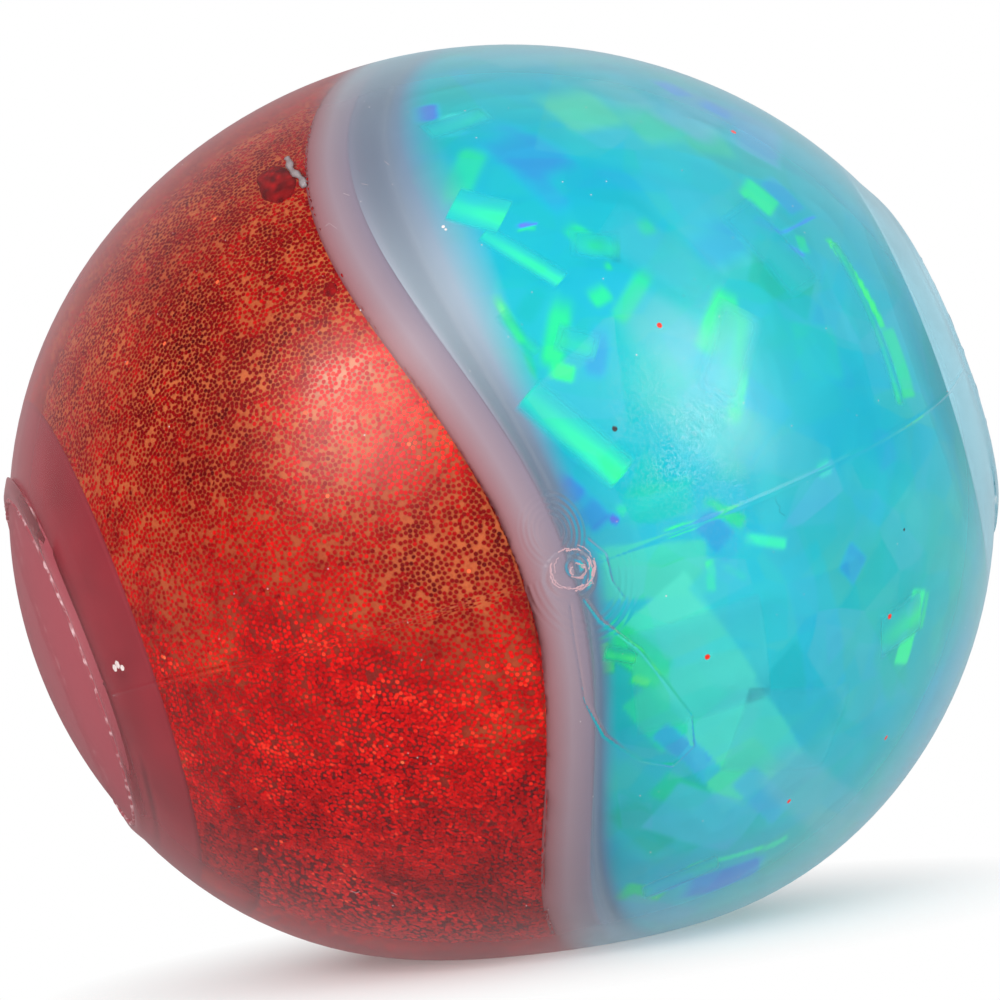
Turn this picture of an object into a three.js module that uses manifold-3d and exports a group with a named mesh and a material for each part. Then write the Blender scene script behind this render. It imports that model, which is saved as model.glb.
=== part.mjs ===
// Sensory ball: a soft clear rubber ball in two chambers, parted by a wavy wall.
// One chamber holds red glitter in liquid, the other strips of iridescent film in liquid.
// Millimetres, +Z up. The origin is the middle of the flat that the ball rests on.
import * as THREE from "three";
import { mergeVertices } from "three/addons/utils/BufferGeometryUtils.js";
import Module from "manifold-3d";

const wasm = await Module();
wasm.setup();

// The ball at rest, sagged a little by its own weight
const ballWidth = 102;
const ballHeight = 96; // before the table flattens its foot
const footDepth = 3;
const easeShare = 0.87; // how far the skin draws in round the foot, of the foot's depth
const easeSpreadShare = 0.07; // how much of the ball's lower half that takes in
const bulgeShare = 0.012; // how much fuller the ball is between its waist and its foot
const wallThick = 4.5;

// How the moulding's own axes lie at rest, in degrees: the pole axis runs from port to port
const poleYaw = 9.4;
const poleTilt = 11.65;
const mouldTwist = 4.9;

// The end wall at each pole, and the port through it. Depths are under the ball's round skin.
const endWall = 9.2; // to the round skin at the ball's widest
const rimDepth = 3.35;
const rimWidth = 0.7; // flat top of the lip round the recess
const rimFlank = 3; // the lip's outer flank, which runs down onto the skin
const rimFall = 1.8; // how far it falls over its width
const recessRadius = 17.9; // seat of the plug's head
const recessDepth = 2.4; // under the rim
const portRadius = 10.8;
const glueWidth = 1.9; // pocket for glue round the port's mouth
const glueDepth = 1.2;

// Plugs and glue
const plugClear = 0.3; // round the head and the neck, and under the head
const redDome = 3.1; // how far a head's middle stands out of its rim
const filmDome = 1;
const headEdge = 0.5; // bevel of the head's rim
const neckShort = 0.4; // the neck stops this far short of the chamber
const glueClear = 0.3;

// The wavy wall between the chambers: a tilt and a wave of three crests, both zero on the axis
const dividerThick = 4.6;
const dividerRise = 10.45;
const dividerWave = 5.44;
const dividerFillet = 2.6;

// Mark of the mould's gate, on the parting line over the wavy wall
const gateStation = -3.3;
const gateRingRadius = 2.4;
const gateRingWidth = 0.5;
const gateRingHeight = 0.25;
const gateNibRadius = 0.75;
const gateNibHeight = 0.35;
const gateRoot = 0.8; // how deep the mark is rooted in the wall

// Liquids
const liquidClear = 0.4; // to every wall

// The bed of settled glitter, which swings round the pole axis as the ball is rolled
const bedClear = 0.3; // to the wall, along the bed's lowest line
const bedThick = 2.2;
const bedLip = 0.9; // thickness at its edges
const bedFarShare = 0.81; // where it ends towards the port, from the ball's middle to the wall
const bedNearShare = 0.36; // where it ends towards the wavy wall
const bedHalfAngle = 46; // degrees each side of its lowest line
const bedSwing = 20; // degrees each way
const bedRunClear = 0.6; // to the liquid, as it swings

// The film strips, which swirl round the pole axis. They lie in two layers, on one sphere and within it.
const stripThick = 0.3;
const stripLength = 20;
const stripWidth = 9;
const stripDepth = 2.3; // of the outer layer, from the wall at its nearest
const layerPitch = 0.85;
const stripSag = 0.25; // how far a strip's middle bows inwards
const coreDepth = 3.9; // of the liquid that they lie round
const coreEndShare = 0.91; // where it ends, from the ball's middle to its radius
// place from the middle to the pole, azimuth and heading in degrees, length, width, and
// 0 for the outer layer or 1 for the inner
const stripShares = [
  [0.06, 49, -42, 0.26, 0.5, 0],
  [0.11, 40.5, -56, 0.44, 0.27, 1],
  [0.065, 14.8, -60, 0.58, 0.46, 1],
  [0.03, 30, -70, 0.26, 0.2, 1],
  [0.14, 26, -35, 0.2, 0.36, 0],
  [0.27, 39, -20, 0.24, 0.4, 0],
  [0.42, 36, -48, 0.62, 0.8, 1],
  [0.47, 19, 50, 0.5, 0.6, 0],
  [0.845, 21, -88, 0.8, 0.2, 1],
  [0.68, -38, -20, 0.34, 0.5, 1],
  [0, -14.5, -30, 0.16, 0.2, 0],
  [0.18, -21, -8, 0.7, 1.2, 1],
  [0.34, -37, -34, 0.65, 1, 0],
  [0.68, 37, -62, 0.5, 0.7, 1],
  [0.04, -56, 4, 0.38, 0.3, 1],
  [0.12, 68, 8, 0.32, 0.4, 1],
  [0.46, 92, 24, 0.9, 0.9, 1],
  [0.62, 136, -40, 1, 1, 1],
  [0.5, 178, 60, 1, 1.1, 1],
  [0.64, 216, -20, 0.9, 1, 1],
  [0.62, 193, -30, 1, 0.95, 0],
  [0.5, 258, 35, 1, 1, 1],
];

// How finely curves are cut
const skinSides = 56;
const skinRings = 24;
const chamberSides = 46;
const wallRings = 8;
const latheSides = 36;
const gateSides = 16;
const faceShares = [0.35, 0.7, 1]; // rings of the wavy wall's faces, from its middle to its fillet
const filletShares = [0.35, 0.7]; // rings within the fillet
const overrun = 1; // of a cutting tool past what it cuts

// Finishes
const clearRubber = { color: 0xb9bfca, roughness: 0.32, metalness: 0, transparent: true, opacity: 0.4 };
const plugRubber = { color: 0xc9ccd2, roughness: 0.35, metalness: 0, transparent: true, opacity: 0.5 };
const glueFinish = { color: 0xe6dedb, roughness: 0.45, metalness: 0 };
const redLiquidFinish = { color: 0xc8683a, roughness: 0.35, metalness: 0 };
const glitterFinish = { color: 0xc01418, roughness: 0.3, metalness: 0.5 };
const clearLiquidFinish = { color: 0x2f9fc4, roughness: 0.3, metalness: 0 };
const filmColours = [0x2cc0d8, 0x5cffc0, 0x4a90d8, 0x2ee8b8, 0x7a6ad0];
const filmFinish = { roughness: 0.2, metalness: 0.35 };

// Worked out from the sizes above
const halfWidth = ballWidth / 2;
const halfHeight = ballHeight / 2;
const centreHeight = halfHeight - footDepth;
const chamberEnd = halfWidth - endWall;
const leastWall = Math.min(halfWidth, halfHeight) - wallThick; // from the middle to the wall at its nearest
const stripRadius = leastWall - stripDepth;
const coreRadius = leastWall - coreDepth;
const dividerRadius = halfWidth - wallThick; // where the wave has its full height
const degrees = Math.PI / 180;

// The moulding's frame: x along the pole axis to the film chamber, z square to the parting plane
const mould = new THREE.Group();
mould.rotation.set(mouldTwist * degrees, -poleTilt * degrees, poleYaw * degrees, "ZYX");
mould.position.set(0, 0, centreHeight);
mould.updateMatrixWorld(true);
const worldUp = new THREE.Vector3(0, 0, 1).applyQuaternion(mould.quaternion.clone().invert());
const lowestAzimuth = Math.atan2(-worldUp.z, worldUp.y);

// The forms that walls follow: the sagged ball, drawn in by inset, and a true sphere
const sagged = (inset) => ({ wide: halfWidth - inset, high: halfHeight - inset, sag: 1 });
const sphere = (radius) => ({ wide: radius, high: radius, sag: 0 });
const skin = sagged(0);

// A direction square to the pole axis. Azimuth 0 is the side that holds the gate, and 90 degrees is up.
function outward(azimuth) {
  return new THREE.Vector3(0, -Math.cos(azimuth), Math.sin(azimuth));
}

// A point of the moulding's frame at a station along the pole axis, at a radius from that axis.
function onAxisPlane(station, radius, azimuth) {
  return outward(azimuth).multiplyScalar(radius).setX(station);
}

// How far a form lies from the ball's middle in a direction of length 1.
function formReach(form, direction) {
  const rise = direction.dot(worldUp);
  const squash = 1 / form.high ** 2 - 1 / form.wide ** 2;
  const round = 1 / Math.sqrt(1 / form.wide ** 2 + squash * rise ** 2);
  const bulge = 2 * bulgeShare * rise ** 2 * (1 - rise ** 2) * (1 - rise);
  const ease = easeShare * footDepth * Math.exp(-(1 + rise) / easeSpreadShare);
  return round * (1 + form.sag * bulge) - form.sag * ease;
}

// How far a form lies from the pole axis at a station.
function formRadius(form, station, azimuth) {
  let radius = Math.sqrt(Math.max(form.wide ** 2 - station ** 2, 0));
  for (let pass = 0; pass < 14; pass++) {
    const reach = formReach(form, onAxisPlane(station, radius, azimuth).normalize());
    radius = Math.sqrt(Math.max(reach ** 2 - station ** 2, 0));
  }
  return radius;
}

// The middle of the wavy wall.
function dividerStation(radius, azimuth) {
  const share = radius / dividerRadius;
  const tilt = -dividerRise * Math.cos(azimuth) * share;
  return tilt + dividerWave * Math.cos(3 * azimuth) * share ** 3;
}

// The frame of a port: its origin on the round skin at the pole, its y axis straight out of the skin.
function portFrame(side) {
  const pole = new THREE.Vector3(side, 0, 0);
  pole.multiplyScalar(formReach(skin, pole));
  const squash = 1 / skin.high ** 2 - 1 / skin.wide ** 2;
  const normal = pole.clone().divideScalar(skin.wide ** 2);
  normal.addScaledVector(worldUp, squash * pole.dot(worldUp)).normalize();
  const turn = new THREE.Quaternion().setFromUnitVectors(new THREE.Vector3(0, 1, 0), normal);
  return { pole, turn, endDepth: pole.length() - chamberEnd };
}

// A geometry as a solid, turned the right way out.
function solidOf(geometry) {
  const bare = geometry.clone();
  bare.deleteAttribute("normal");
  bare.deleteAttribute("uv");
  const merged = mergeVertices(bare);
  const triVerts = new Uint32Array(merged.index.array);
  const vertProperties = merged.attributes.position.array;
  const made = new wasm.Manifold(new wasm.Mesh({ numProp: 3, vertProperties, triVerts }));
  if (made.volume() > 0) return made;
  triVerts.reverse();
  return new wasm.Manifold(new wasm.Mesh({ numProp: 3, vertProperties, triVerts }));
}

// A solid as a geometry.
function geometryOf(solid) {
  const mesh = solid.getMesh();
  const geometry = new THREE.BufferGeometry();
  geometry.setAttribute("position", new THREE.BufferAttribute(mesh.vertProperties, 3));
  geometry.setIndex(new THREE.BufferAttribute(mesh.triVerts, 1));
  geometry.computeVertexNormals();
  return geometry;
}

// A closed skin over rings of points, with a point on the axis at each end.
function loft(first, rings, last) {
  const sides = rings[0].length;
  const points = [first, ...rings.flat(), last];
  const index = [];
  for (let side = 0; side < sides; side++) {
    const next = (side + 1) % sides;
    index.push(0, 1 + side, 1 + next);
    for (let ring = 0; ring + 1 < rings.length; ring++) {
      const here = 1 + ring * sides;
      const there = here + sides;
      index.push(here + side, there + side, here + next);
      index.push(here + next, there + side, there + next);
    }
    const end = 1 + (rings.length - 1) * sides;
    index.push(end + side, points.length - 1, end + next);
  }
  const geometry = new THREE.BufferGeometry().setFromPoints(points);
  return geometry.setIndex(index);
}

// A closed slab over a grid, whose face(u, v, out) gives the outer face for out 1 and the inner for out 0.
function slab(across, along, face) {
  const points = [];
  for (const out of [1, 0]) {
    for (let j = 0; j <= along; j++) {
      for (let i = 0; i <= across; i++) points.push(face(i / across, j / along, out));
    }
  }
  const row = across + 1;
  const inner = row * (along + 1);
  const index = [];
  const quad = (a, b, c, d) => index.push(a, b, c, a, c, d);
  for (let j = 0; j < along; j++) {
    for (let i = 0; i < across; i++) {
      const at = j * row + i;
      quad(at, at + 1, at + row + 1, at + row);
      quad(inner + at + row, inner + at + row + 1, inner + at + 1, inner + at);
    }
    const low = j * row;
    const high = low + across;
    quad(low + row, inner + low + row, inner + low, low);
    quad(high, inner + high, inner + high + row, high + row);
  }
  const top = along * row;
  for (let i = 0; i < across; i++) {
    quad(i, inner + i, inner + i + 1, i + 1);
    quad(top + i + 1, inner + top + i + 1, inner + top + i, top + i);
  }
  return new THREE.BufferGeometry().setFromPoints(points).setIndex(index);
}

// A lathe in a port's frame. The profile's points are radius and depth under the round skin.
function portLathe(profile, port) {
  const turned = new THREE.LatheGeometry(profile.map(([r, d]) => new THREE.Vector2(r, -d)), latheSides);
  return solidOf(turned.applyQuaternion(port.turn).translate(...port.pole.toArray()));
}

// The round, sagged outside.
function outerForm() {
  const rings = [];
  for (let ring = 1; ring < skinRings; ring++) {
    const lean = (ring / skinRings - 0.5) * Math.PI;
    const points = [];
    for (let side = 0; side < skinSides; side++) {
      const way = onAxisPlane(Math.sin(lean), Math.cos(lean), (2 * Math.PI * side) / skinSides);
      points.push(way.multiplyScalar(formReach(skin, way)));
    }
    rings.push(points);
  }
  return solidOf(loft(portFrame(-1).pole, rings, portFrame(1).pole));
}

// A chamber's space within a form, drawn in from the wavy wall, and ending at a station.
function chamber(side, form, dividerGap, end) {
  const faceAt = (radius, azimuth) =>
    side * (dividerThick / 2 + dividerGap) + dividerStation(radius, azimuth);
  const columns = [];
  for (let k = 0; k < chamberSides; k++) {
    const azimuth = (2 * Math.PI * k) / chamberSides;
    let corner = form.wide;
    for (let pass = 0; pass < 12; pass++) {
      corner = formRadius(form, faceAt(corner, azimuth), azimuth);
    }
    const flatEnd = corner - dividerFillet;
    const column = faceShares.map((share) => [faceAt(share * flatEnd, azimuth), share * flatEnd]);
    const from = new THREE.Vector2(...column[column.length - 1]);
    const tip = new THREE.Vector2(faceAt(corner, azimuth), corner);
    const wallStart = tip.x + side * dividerFillet;
    const to = new THREE.Vector2(wallStart, formRadius(form, wallStart, azimuth));
    const round = new THREE.QuadraticBezierCurve(from, tip, to);
    for (const share of filletShares) column.push(round.getPoint(share).toArray());
    const start = Math.asin(wallStart / form.wide);
    const stop = side * Math.asin(end / form.wide);
    for (let ring = 0; ring <= wallRings; ring++) {
      const station = form.wide * Math.sin(THREE.MathUtils.lerp(start, stop, ring / wallRings));
      column.push([station, formRadius(form, station, azimuth)]);
    }
    columns.push(column.map(([station, radius]) => onAxisPlane(station, radius, azimuth)));
  }
  const rings = columns[0].map((_, ring) => columns.map((column) => column[ring]));
  const first = new THREE.Vector3(side * (dividerThick / 2 + dividerGap), 0, 0);
  return solidOf(loft(first, rings, new THREE.Vector3(side * end, 0, 0)));
}

// The lip that stands a little proud of the skin round the recess.
function rimLip(port) {
  const outer = recessRadius + rimWidth + rimFlank;
  const profile = [
    [recessRadius - overrun, rimDepth],
    [recessRadius + rimWidth, rimDepth],
    [outer, rimDepth + rimFall],
    [recessRadius - overrun, rimDepth + rimFall],
    [recessRadius - overrun, rimDepth],
  ];
  return portLathe(profile, port);
}

// What is cut out of an end: the recess for the plug's head, the glue pocket and the port.
function portCut(port) {
  const floor = rimDepth + recessDepth;
  const pocketRadius = portRadius + glueWidth;
  const profile = [
    [0, port.endDepth + overrun],
    [portRadius, port.endDepth + overrun],
    [portRadius, floor + glueDepth],
    [pocketRadius, floor + glueDepth],
    [pocketRadius, floor],
    [recessRadius, floor],
    [recessRadius, -overrun],
    [0, -overrun],
  ];
  return portLathe(profile, port);
}

// A mushroom plug: a domed head in the recess and a neck in the port.
function plug(side, dome) {
  const port = portFrame(side);
  const under = rimDepth + recessDepth - plugClear;
  const headRadius = recessRadius - plugClear;
  const neckRadius = portRadius - plugClear;
  const edge = headRadius - headEdge;
  const bow = (edge ** 2 + dome ** 2) / (2 * dome);
  const profile = [
    [0, port.endDepth - neckShort],
    [neckRadius, port.endDepth - neckShort],
    [neckRadius, under],
    [headRadius, under],
    [headRadius, rimDepth + headEdge],
    [edge, rimDepth],
  ];
  const domeSteps = 5;
  for (let step = 1; step < domeSteps; step++) {
    const lean = Math.asin(edge / bow) * (1 - step / domeSteps);
    profile.push([bow * Math.sin(lean), rimDepth - dome + bow - bow * Math.cos(lean)]);
  }
  profile.push([0, rimDepth - dome]);
  return geometryOf(portLathe(profile, port));
}

// The ring of glue in the pocket round a plug's neck.
function glueRing(side) {
  const floor = rimDepth + recessDepth;
  const inner = portRadius - plugClear + glueClear;
  const outer = portRadius + glueWidth - glueClear;
  const profile = [
    [inner, floor + glueDepth - glueClear],
    [outer, floor + glueDepth - glueClear],
    [outer, floor],
    [inner, floor],
    [inner, floor + glueDepth - glueClear],
  ];
  return geometryOf(portLathe(profile, portFrame(side)));
}

// The foot: what the table flattens.
function footCut() {
  const block = new THREE.BoxGeometry(2 * ballWidth, 2 * ballWidth, ballHeight);
  block.translate(0, 0, -halfHeight);
  return solidOf(block.applyMatrix4(mould.matrixWorld.clone().invert()));
}

// The gate's ring and nib, standing on the skin.
function gateMark() {
  const foot = onAxisPlane(gateStation, formRadius(skin, gateStation, 0), 0);
  const turn = new THREE.Quaternion();
  turn.setFromUnitVectors(new THREE.Vector3(0, 1, 0), foot.clone().normalize());
  const place = (profile) => {
    const turned = new THREE.LatheGeometry(profile.map(([r, h]) => new THREE.Vector2(r, h)), gateSides);
    return solidOf(turned.applyQuaternion(turn).translate(...foot.toArray()));
  };
  const ringInner = gateRingRadius - gateRingWidth;
  const ring = place([
    [ringInner, -gateRoot],
    [gateRingRadius, -gateRoot],
    [gateRingRadius, gateRingHeight],
    [ringInner, gateRingHeight],
    [ringInner, -gateRoot],
  ]);
  const nib = place([
    [0, -gateRoot],
    [gateNibRadius, -gateRoot],
    [gateNibRadius, gateNibHeight],
    [0, gateNibHeight],
  ]);
  return ring.add(nib);
}

// The moulding: wall, wavy wall and rims in one piece.
function ballBody() {
  let body = outerForm();
  for (const side of [-1, 1]) {
    const port = portFrame(side);
    body = body.add(rimLip(port)).subtract(portCut(port));
    body = body.subtract(chamber(side, sagged(wallThick), 0, chamberEnd));
  }
  return geometryOf(body.subtract(footCut()).add(gateMark()));
}

// How far the bed's outer face lies from the pole axis: the same at any azimuth, so that it can swing.
function bedRadius(station) {
  const form = sagged(wallThick + bedClear);
  const beside = formRadius(form, station, lowestAzimuth + Math.PI / 2);
  return Math.min(formRadius(form, station, lowestAzimuth), beside);
}

// Where a point of the bed's length lies: 0 is its far end, towards the port, and 1 its near end.
function bedStation(v, beyond) {
  const far = bedFarShare * leastWall + beyond;
  const near = bedNearShare * leastWall - beyond;
  return -THREE.MathUtils.lerp(far, near, v);
}

// The bed of glitter, thickest along its lowest line and against the wavy wall.
function glitterBed() {
  const across = 14;
  const along = 7;
  const made = slab(across, along, (u, v, out) => {
    const turn = 2 * u - 1;
    const azimuth = lowestAzimuth + turn * bedHalfAngle * degrees;
    const station = bedStation(v, 0);
    const share = (1 - turn * turn) * (1 - (1 - v) ** 2);
    const thick = THREE.MathUtils.lerp(bedLip, bedThick, share);
    return onAxisPlane(station, bedRadius(station) - (out ? 0 : thick), azimuth);
  });
  return geometryOf(solidOf(made));
}

// The space that the bed takes up as it swings.
function bedChannel() {
  const across = 18;
  const along = 7;
  const half = (bedHalfAngle + bedSwing) * degrees + bedRunClear / dividerRadius;
  const made = slab(across, along, (u, v, out) => {
    const azimuth = lowestAzimuth + (2 * u - 1) * half;
    const station = bedStation(v, bedRunClear);
    if (out) return onAxisPlane(station, formRadius(skin, station, azimuth), azimuth);
    return onAxisPlane(station, bedRadius(station) - bedThick - bedRunClear, azimuth);
  });
  return solidOf(made);
}

// The liquid round the glitter, with room for the bed to swing.
function redLiquid() {
  const form = sagged(wallThick + liquidClear);
  return geometryOf(chamber(-1, form, liquidClear, chamberEnd - liquidClear).subtract(bedChannel()));
}

// The liquid within the film strips.
function clearLiquid() {
  return geometryOf(chamber(1, sphere(coreRadius), liquidClear, coreEndShare * coreRadius));
}

// A strip of film, bent to lie on its layer's sphere.
function filmStrip([place, azimuth, heading, longShare, wideShare, layer]) {
  const radius = stripRadius - layer * layerPitch;
  const station = place * radius;
  const middle = onAxisPlane(station, Math.sqrt(radius ** 2 - station ** 2), azimuth * degrees);
  const normal = middle.clone().normalize();
  const run = new THREE.Vector3(1, 0, 0).projectOnPlane(normal).normalize();
  run.applyAxisAngle(normal, heading * degrees);
  const cross = normal.clone().cross(run);
  const across = 2;
  const along = 8;
  const made = slab(across, along, (u, v, out) => {
    const way = middle.clone().addScaledVector(run, (v - 0.5) * longShare * stripLength);
    way.addScaledVector(cross, (u - 0.5) * wideShare * stripWidth);
    const bow = stripSag * Math.sin(Math.PI * v);
    return way.setLength(radius - bow + (out - 0.5) * stripThick);
  });
  return geometryOf(solidOf(made));
}

function addPiece(name, geometry, finish) {
  const mesh = new THREE.Mesh(geometry, new THREE.MeshStandardMaterial(finish));
  mesh.name = name;
  mould.add(mesh);
}

addPiece("ball_body", ballBody(), clearRubber);
addPiece("red_end_plug", plug(-1, redDome), plugRubber);
addPiece("film_end_plug", plug(1, filmDome), plugRubber);
addPiece("red_plug_glue", glueRing(-1), glueFinish);
addPiece("film_plug_glue", glueRing(1), glueFinish);
addPiece("red_liquid", redLiquid(), redLiquidFinish);
addPiece("glitter_bed", glitterBed(), glitterFinish);
addPiece("clear_liquid", clearLiquid(), clearLiquidFinish);
stripShares.forEach((strip, at) => {
  const name = `film_strip_${String(at + 1).padStart(2, "0")}`;
  addPiece(name, filmStrip(strip), { ...filmFinish, color: filmColours[at % filmColours.length] });
});

const ball = new THREE.Group();
ball.add(mould);

export default ball;
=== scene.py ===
# Sensory ball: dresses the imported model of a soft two-chamber squeeze ball for its portrait.
from math import asin, atan2, cos, pi, radians, sin, sqrt

import bmesh
import bpy
import numpy as np
from mathutils import Matrix, Vector
from mathutils.kdtree import KDTree


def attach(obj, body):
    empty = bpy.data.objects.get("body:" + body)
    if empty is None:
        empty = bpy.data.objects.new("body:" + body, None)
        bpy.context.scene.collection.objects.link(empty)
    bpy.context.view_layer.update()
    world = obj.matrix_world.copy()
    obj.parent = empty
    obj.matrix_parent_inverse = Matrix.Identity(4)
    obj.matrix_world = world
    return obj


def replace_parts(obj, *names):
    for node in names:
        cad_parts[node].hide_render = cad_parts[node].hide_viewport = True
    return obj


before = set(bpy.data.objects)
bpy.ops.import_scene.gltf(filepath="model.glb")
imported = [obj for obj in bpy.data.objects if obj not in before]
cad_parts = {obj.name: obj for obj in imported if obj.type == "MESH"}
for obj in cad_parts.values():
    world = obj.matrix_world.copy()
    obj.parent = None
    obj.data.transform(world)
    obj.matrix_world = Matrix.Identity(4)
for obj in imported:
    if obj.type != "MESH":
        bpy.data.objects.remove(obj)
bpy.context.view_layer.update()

bl_info = {
    "name": "Sensory ball",
    "version": (1, 0, 0),
    "blender": (4, 5, 0),
    "location": "View3D > Sidebar > Sensory ball",
    "description": "Builds a soft two-chamber ball with red glitter and iridescent film",
    "category": "Object",
}

MM = 0.001

# The moulding's frame: x runs from the red port to the film port, z is square to the parting plane.
YAW, TILT, TWIST = radians(9.4), radians(11.65), radians(4.9)
TURN = (Matrix.Rotation(YAW, 3, "Z") @ Matrix.Rotation(-TILT, 3, "Y") @ Matrix.Rotation(TWIST, 3, "X"))
MOULD = np.array(TURN)
WORLD_UP = MOULD.T @ np.array([0.0, 0.0, 1.0])
LOWEST = atan2(-WORLD_UP[2], WORLD_UP[1])

# Fixed measures, in mm
SKIN_RADIUS = 51     # the round skin's, near enough to space its rows
WAVE_RADIUS = 46.5   # where the wave of the wall has its full height
HALF_WALL = 2.3      # half of the wavy wall
WALL_INSET = 4.5     # how far under the skin the wavy wall ends
LIP_RADIUS = 20.9    # where the lip of a port runs into the round skin
PORT_FLOOR = 5.75    # how deep the recess of a port is under the round skin's pole
GATE_RADIUS = 50.6   # from the pole axis to the gate
RED_SPHERE = 45      # the sphere that the zones of glitter are laid out on
SHEET_SPHERE = 40.6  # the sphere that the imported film's sheets are laid out on
STRIP_SPHERE = 41.2  # the outer sphere that the strips lie on
STRIP_LAYER = 0.85   # how much deeper the second layer of strips lies
CORE_SPHERE = 39.7   # the murky heart of the film chamber
FILM_LENGTH, FILM_WIDTH = 20, 9
PANE = 0.08          # a strip's thickness
RED_INSET, RED_END = 4.78, 41.55   # how far the red filling is under the skin, and where it ends
FILM_INSET, FILM_END = 4.6, 41.3   # the same for the film's heart
SEAT = -0.04         # the fillings' faces lie this far into the wavy wall, so no dark slit shows there
PEEL_DEPTH = 0.00004               # of the moulded skin's orange peel, in metres
SOLVE_ROUNDS = 14    # enough to find the skin's radius to a micron
WHITE = (1, 1, 1, 1)
FLAKES = "polyester_glitter_metallised_hex_cut"
LIQUID = "glitter_liquid_clear_dyed"


class BallSizes(bpy.types.PropertyGroup):
    width: bpy.props.FloatProperty(
        name="Width", description="Width of the round skin at its widest", default=0.102,
        unit="LENGTH", subtype="DISTANCE")
    height: bpy.props.FloatProperty(
        name="Height", description="Height of the round skin before the table flattens its foot",
        default=0.096, unit="LENGTH", subtype="DISTANCE")
    foot: bpy.props.FloatProperty(
        name="Foot depth", description="How much of the height the table takes away",
        default=0.003, unit="LENGTH", subtype="DISTANCE")
    wall: bpy.props.FloatProperty(
        name="Wall", description="Thickness of the outer wall", default=0.0045,
        unit="LENGTH", subtype="DISTANCE")
    end_wall: bpy.props.FloatProperty(
        name="End wall", description="Thickness of the wall at each pole", default=0.0092,
        unit="LENGTH", subtype="DISTANCE")
    flake: bpy.props.FloatProperty(
        name="Flake", description="Width of one hexagonal glitter flake, flat to flat",
        default=0.0004, unit="LENGTH", subtype="DISTANCE")
    flake_pitch: bpy.props.FloatProperty(
        name="Flake pitch", description="Middle to middle of two neighbouring flakes",
        default=0.00057, unit="LENGTH", subtype="DISTANCE")
    seed: bpy.props.IntProperty(
        name="Seed", description="Seed of every random draw", default=11)


class BallColours(bpy.types.PropertyGroup):
    bloom_red: bpy.props.StringProperty(
        name="Bloom, red side", description="Haze of the clear rubber beside the glitter, sRGB",
        default="A86068")
    bloom_film: bpy.props.StringProperty(
        name="Bloom, film side", description="Haze of the clear rubber beside the film, sRGB",
        default="A4C8D6")
    end_red: bpy.props.StringProperty(
        name="End, red side", description="The thick end of the red chamber, sRGB", default="8A2630")
    end_film: bpy.props.StringProperty(
        name="End, film side", description="The thick end of the film chamber, sRGB", default="8AC4D4")
    wall_red: bpy.props.StringProperty(
        name="Wall, red side", description="The wavy wall beside the glitter, sRGB", default="966A70")
    wall_film: bpy.props.StringProperty(
        name="Wall, film side", description="The wavy wall beside the film, sRGB", default="847A8A")
    ground: bpy.props.StringProperty(
        name="Ground", description="The glitter's liquid in the light, sRGB", default="CC6A3C")
    film: bpy.props.StringProperty(
        name="Film", description="The film at its commonest tint, sRGB", default="14ACC8")


def linear(text):
    """An sRGB hex colour as linear red, green, blue and alpha."""
    parts = [int(text[at:at + 2], 16) / 255 for at in (0, 2, 4)]
    return tuple(c / 12.92 if c <= 0.04045 else ((c + 0.055) / 1.055) ** 2.4 for c in parts) + (1.0,)


def add_node(tree, kind, inputs=None, **settings):
    """Adds a node, sets its values and joins its inputs. An input that is a (node, output) pair is a link."""
    node = tree.nodes.new(kind)
    for name, value in settings.items():
        setattr(node, name, value)
    for key, value in (inputs or {}).items():
        if isinstance(value, tuple) and isinstance(value[0], bpy.types.Node):
            tree.links.new(value[0].outputs[value[1]], node.inputs[key])
        else:
            node.inputs[key].default_value = value
    return node


def ramp(tree, source, stops, interpolation="LINEAR"):
    """A colour ramp over (place, hex colour or grey) stops. Like the functions after it, it gives a
    (node, output) pair, and takes such pairs as values."""
    node = add_node(tree, "ShaderNodeValToRGB", {"Fac": source})
    node.color_ramp.interpolation = interpolation
    marks = node.color_ramp.elements
    while len(marks) < len(stops):
        marks.new(1.0)
    for at, (place, colour) in enumerate(stops):
        mark = marks[at]
        mark.position = place
        mark.color = linear(colour) if isinstance(colour, str) else (colour, colour, colour, 1)
    return node, "Color"


def attribute(tree, name):
    """The number that a mesh carries under a name."""
    return add_node(tree, "ShaderNodeAttribute", attribute_name=name), "Fac"


def noise(tree, scale, detail, **more):
    """Soft noise over the object: a scale of 1000 has patches of about 1 mm."""
    place = add_node(tree, "ShaderNodeTexCoord")
    inputs = {"Vector": (place, "Object"), "Scale": scale, "Detail": detail, **more}
    return add_node(tree, "ShaderNodeTexNoise", inputs), "Fac"


def calc(tree, operation, *values, clamp=False):
    """One sum over numbers and pairs."""
    made = add_node(tree, "ShaderNodeMath", dict(enumerate(values)), operation=operation, use_clamp=clamp)
    return made, "Value"


def remap(tree, source, start, end, low, high, **settings):
    """Turns the range from start to end into the range from low to high."""
    inputs = {"Value": source, "From Min": start, "From Max": end, "To Min": low, "To Max": high}
    return add_node(tree, "ShaderNodeMapRange", inputs, **settings), "Result"


def mix_colours(tree, share, first, second):
    """The first colour at share 0, the second at 1."""
    return add_node(tree, "ShaderNodeMix", {"Factor": share, 6: first, 7: second}, data_type="RGBA"), 2


def mix_shaders(tree, share, first, second):
    """The first shader at share 0, the second at 1."""
    return add_node(tree, "ShaderNodeMixShader", {0: share, 1: first, 2: second}), 0


def bump(tree, height, strength, depth):
    """A normal from a height, with its depth in metres."""
    inputs = {"Strength": strength, "Distance": depth, "Height": height}
    return add_node(tree, "ShaderNodeBump", inputs), "Normal"


def principled(tree, colour, roughness, specular=0.5, **more):
    """The general surface shader."""
    inputs = {"Base Color": colour, "Roughness": roughness, "Specular IOR Level": specular, **more}
    return add_node(tree, "ShaderNodeBsdfPrincipled", inputs), 0


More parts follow.
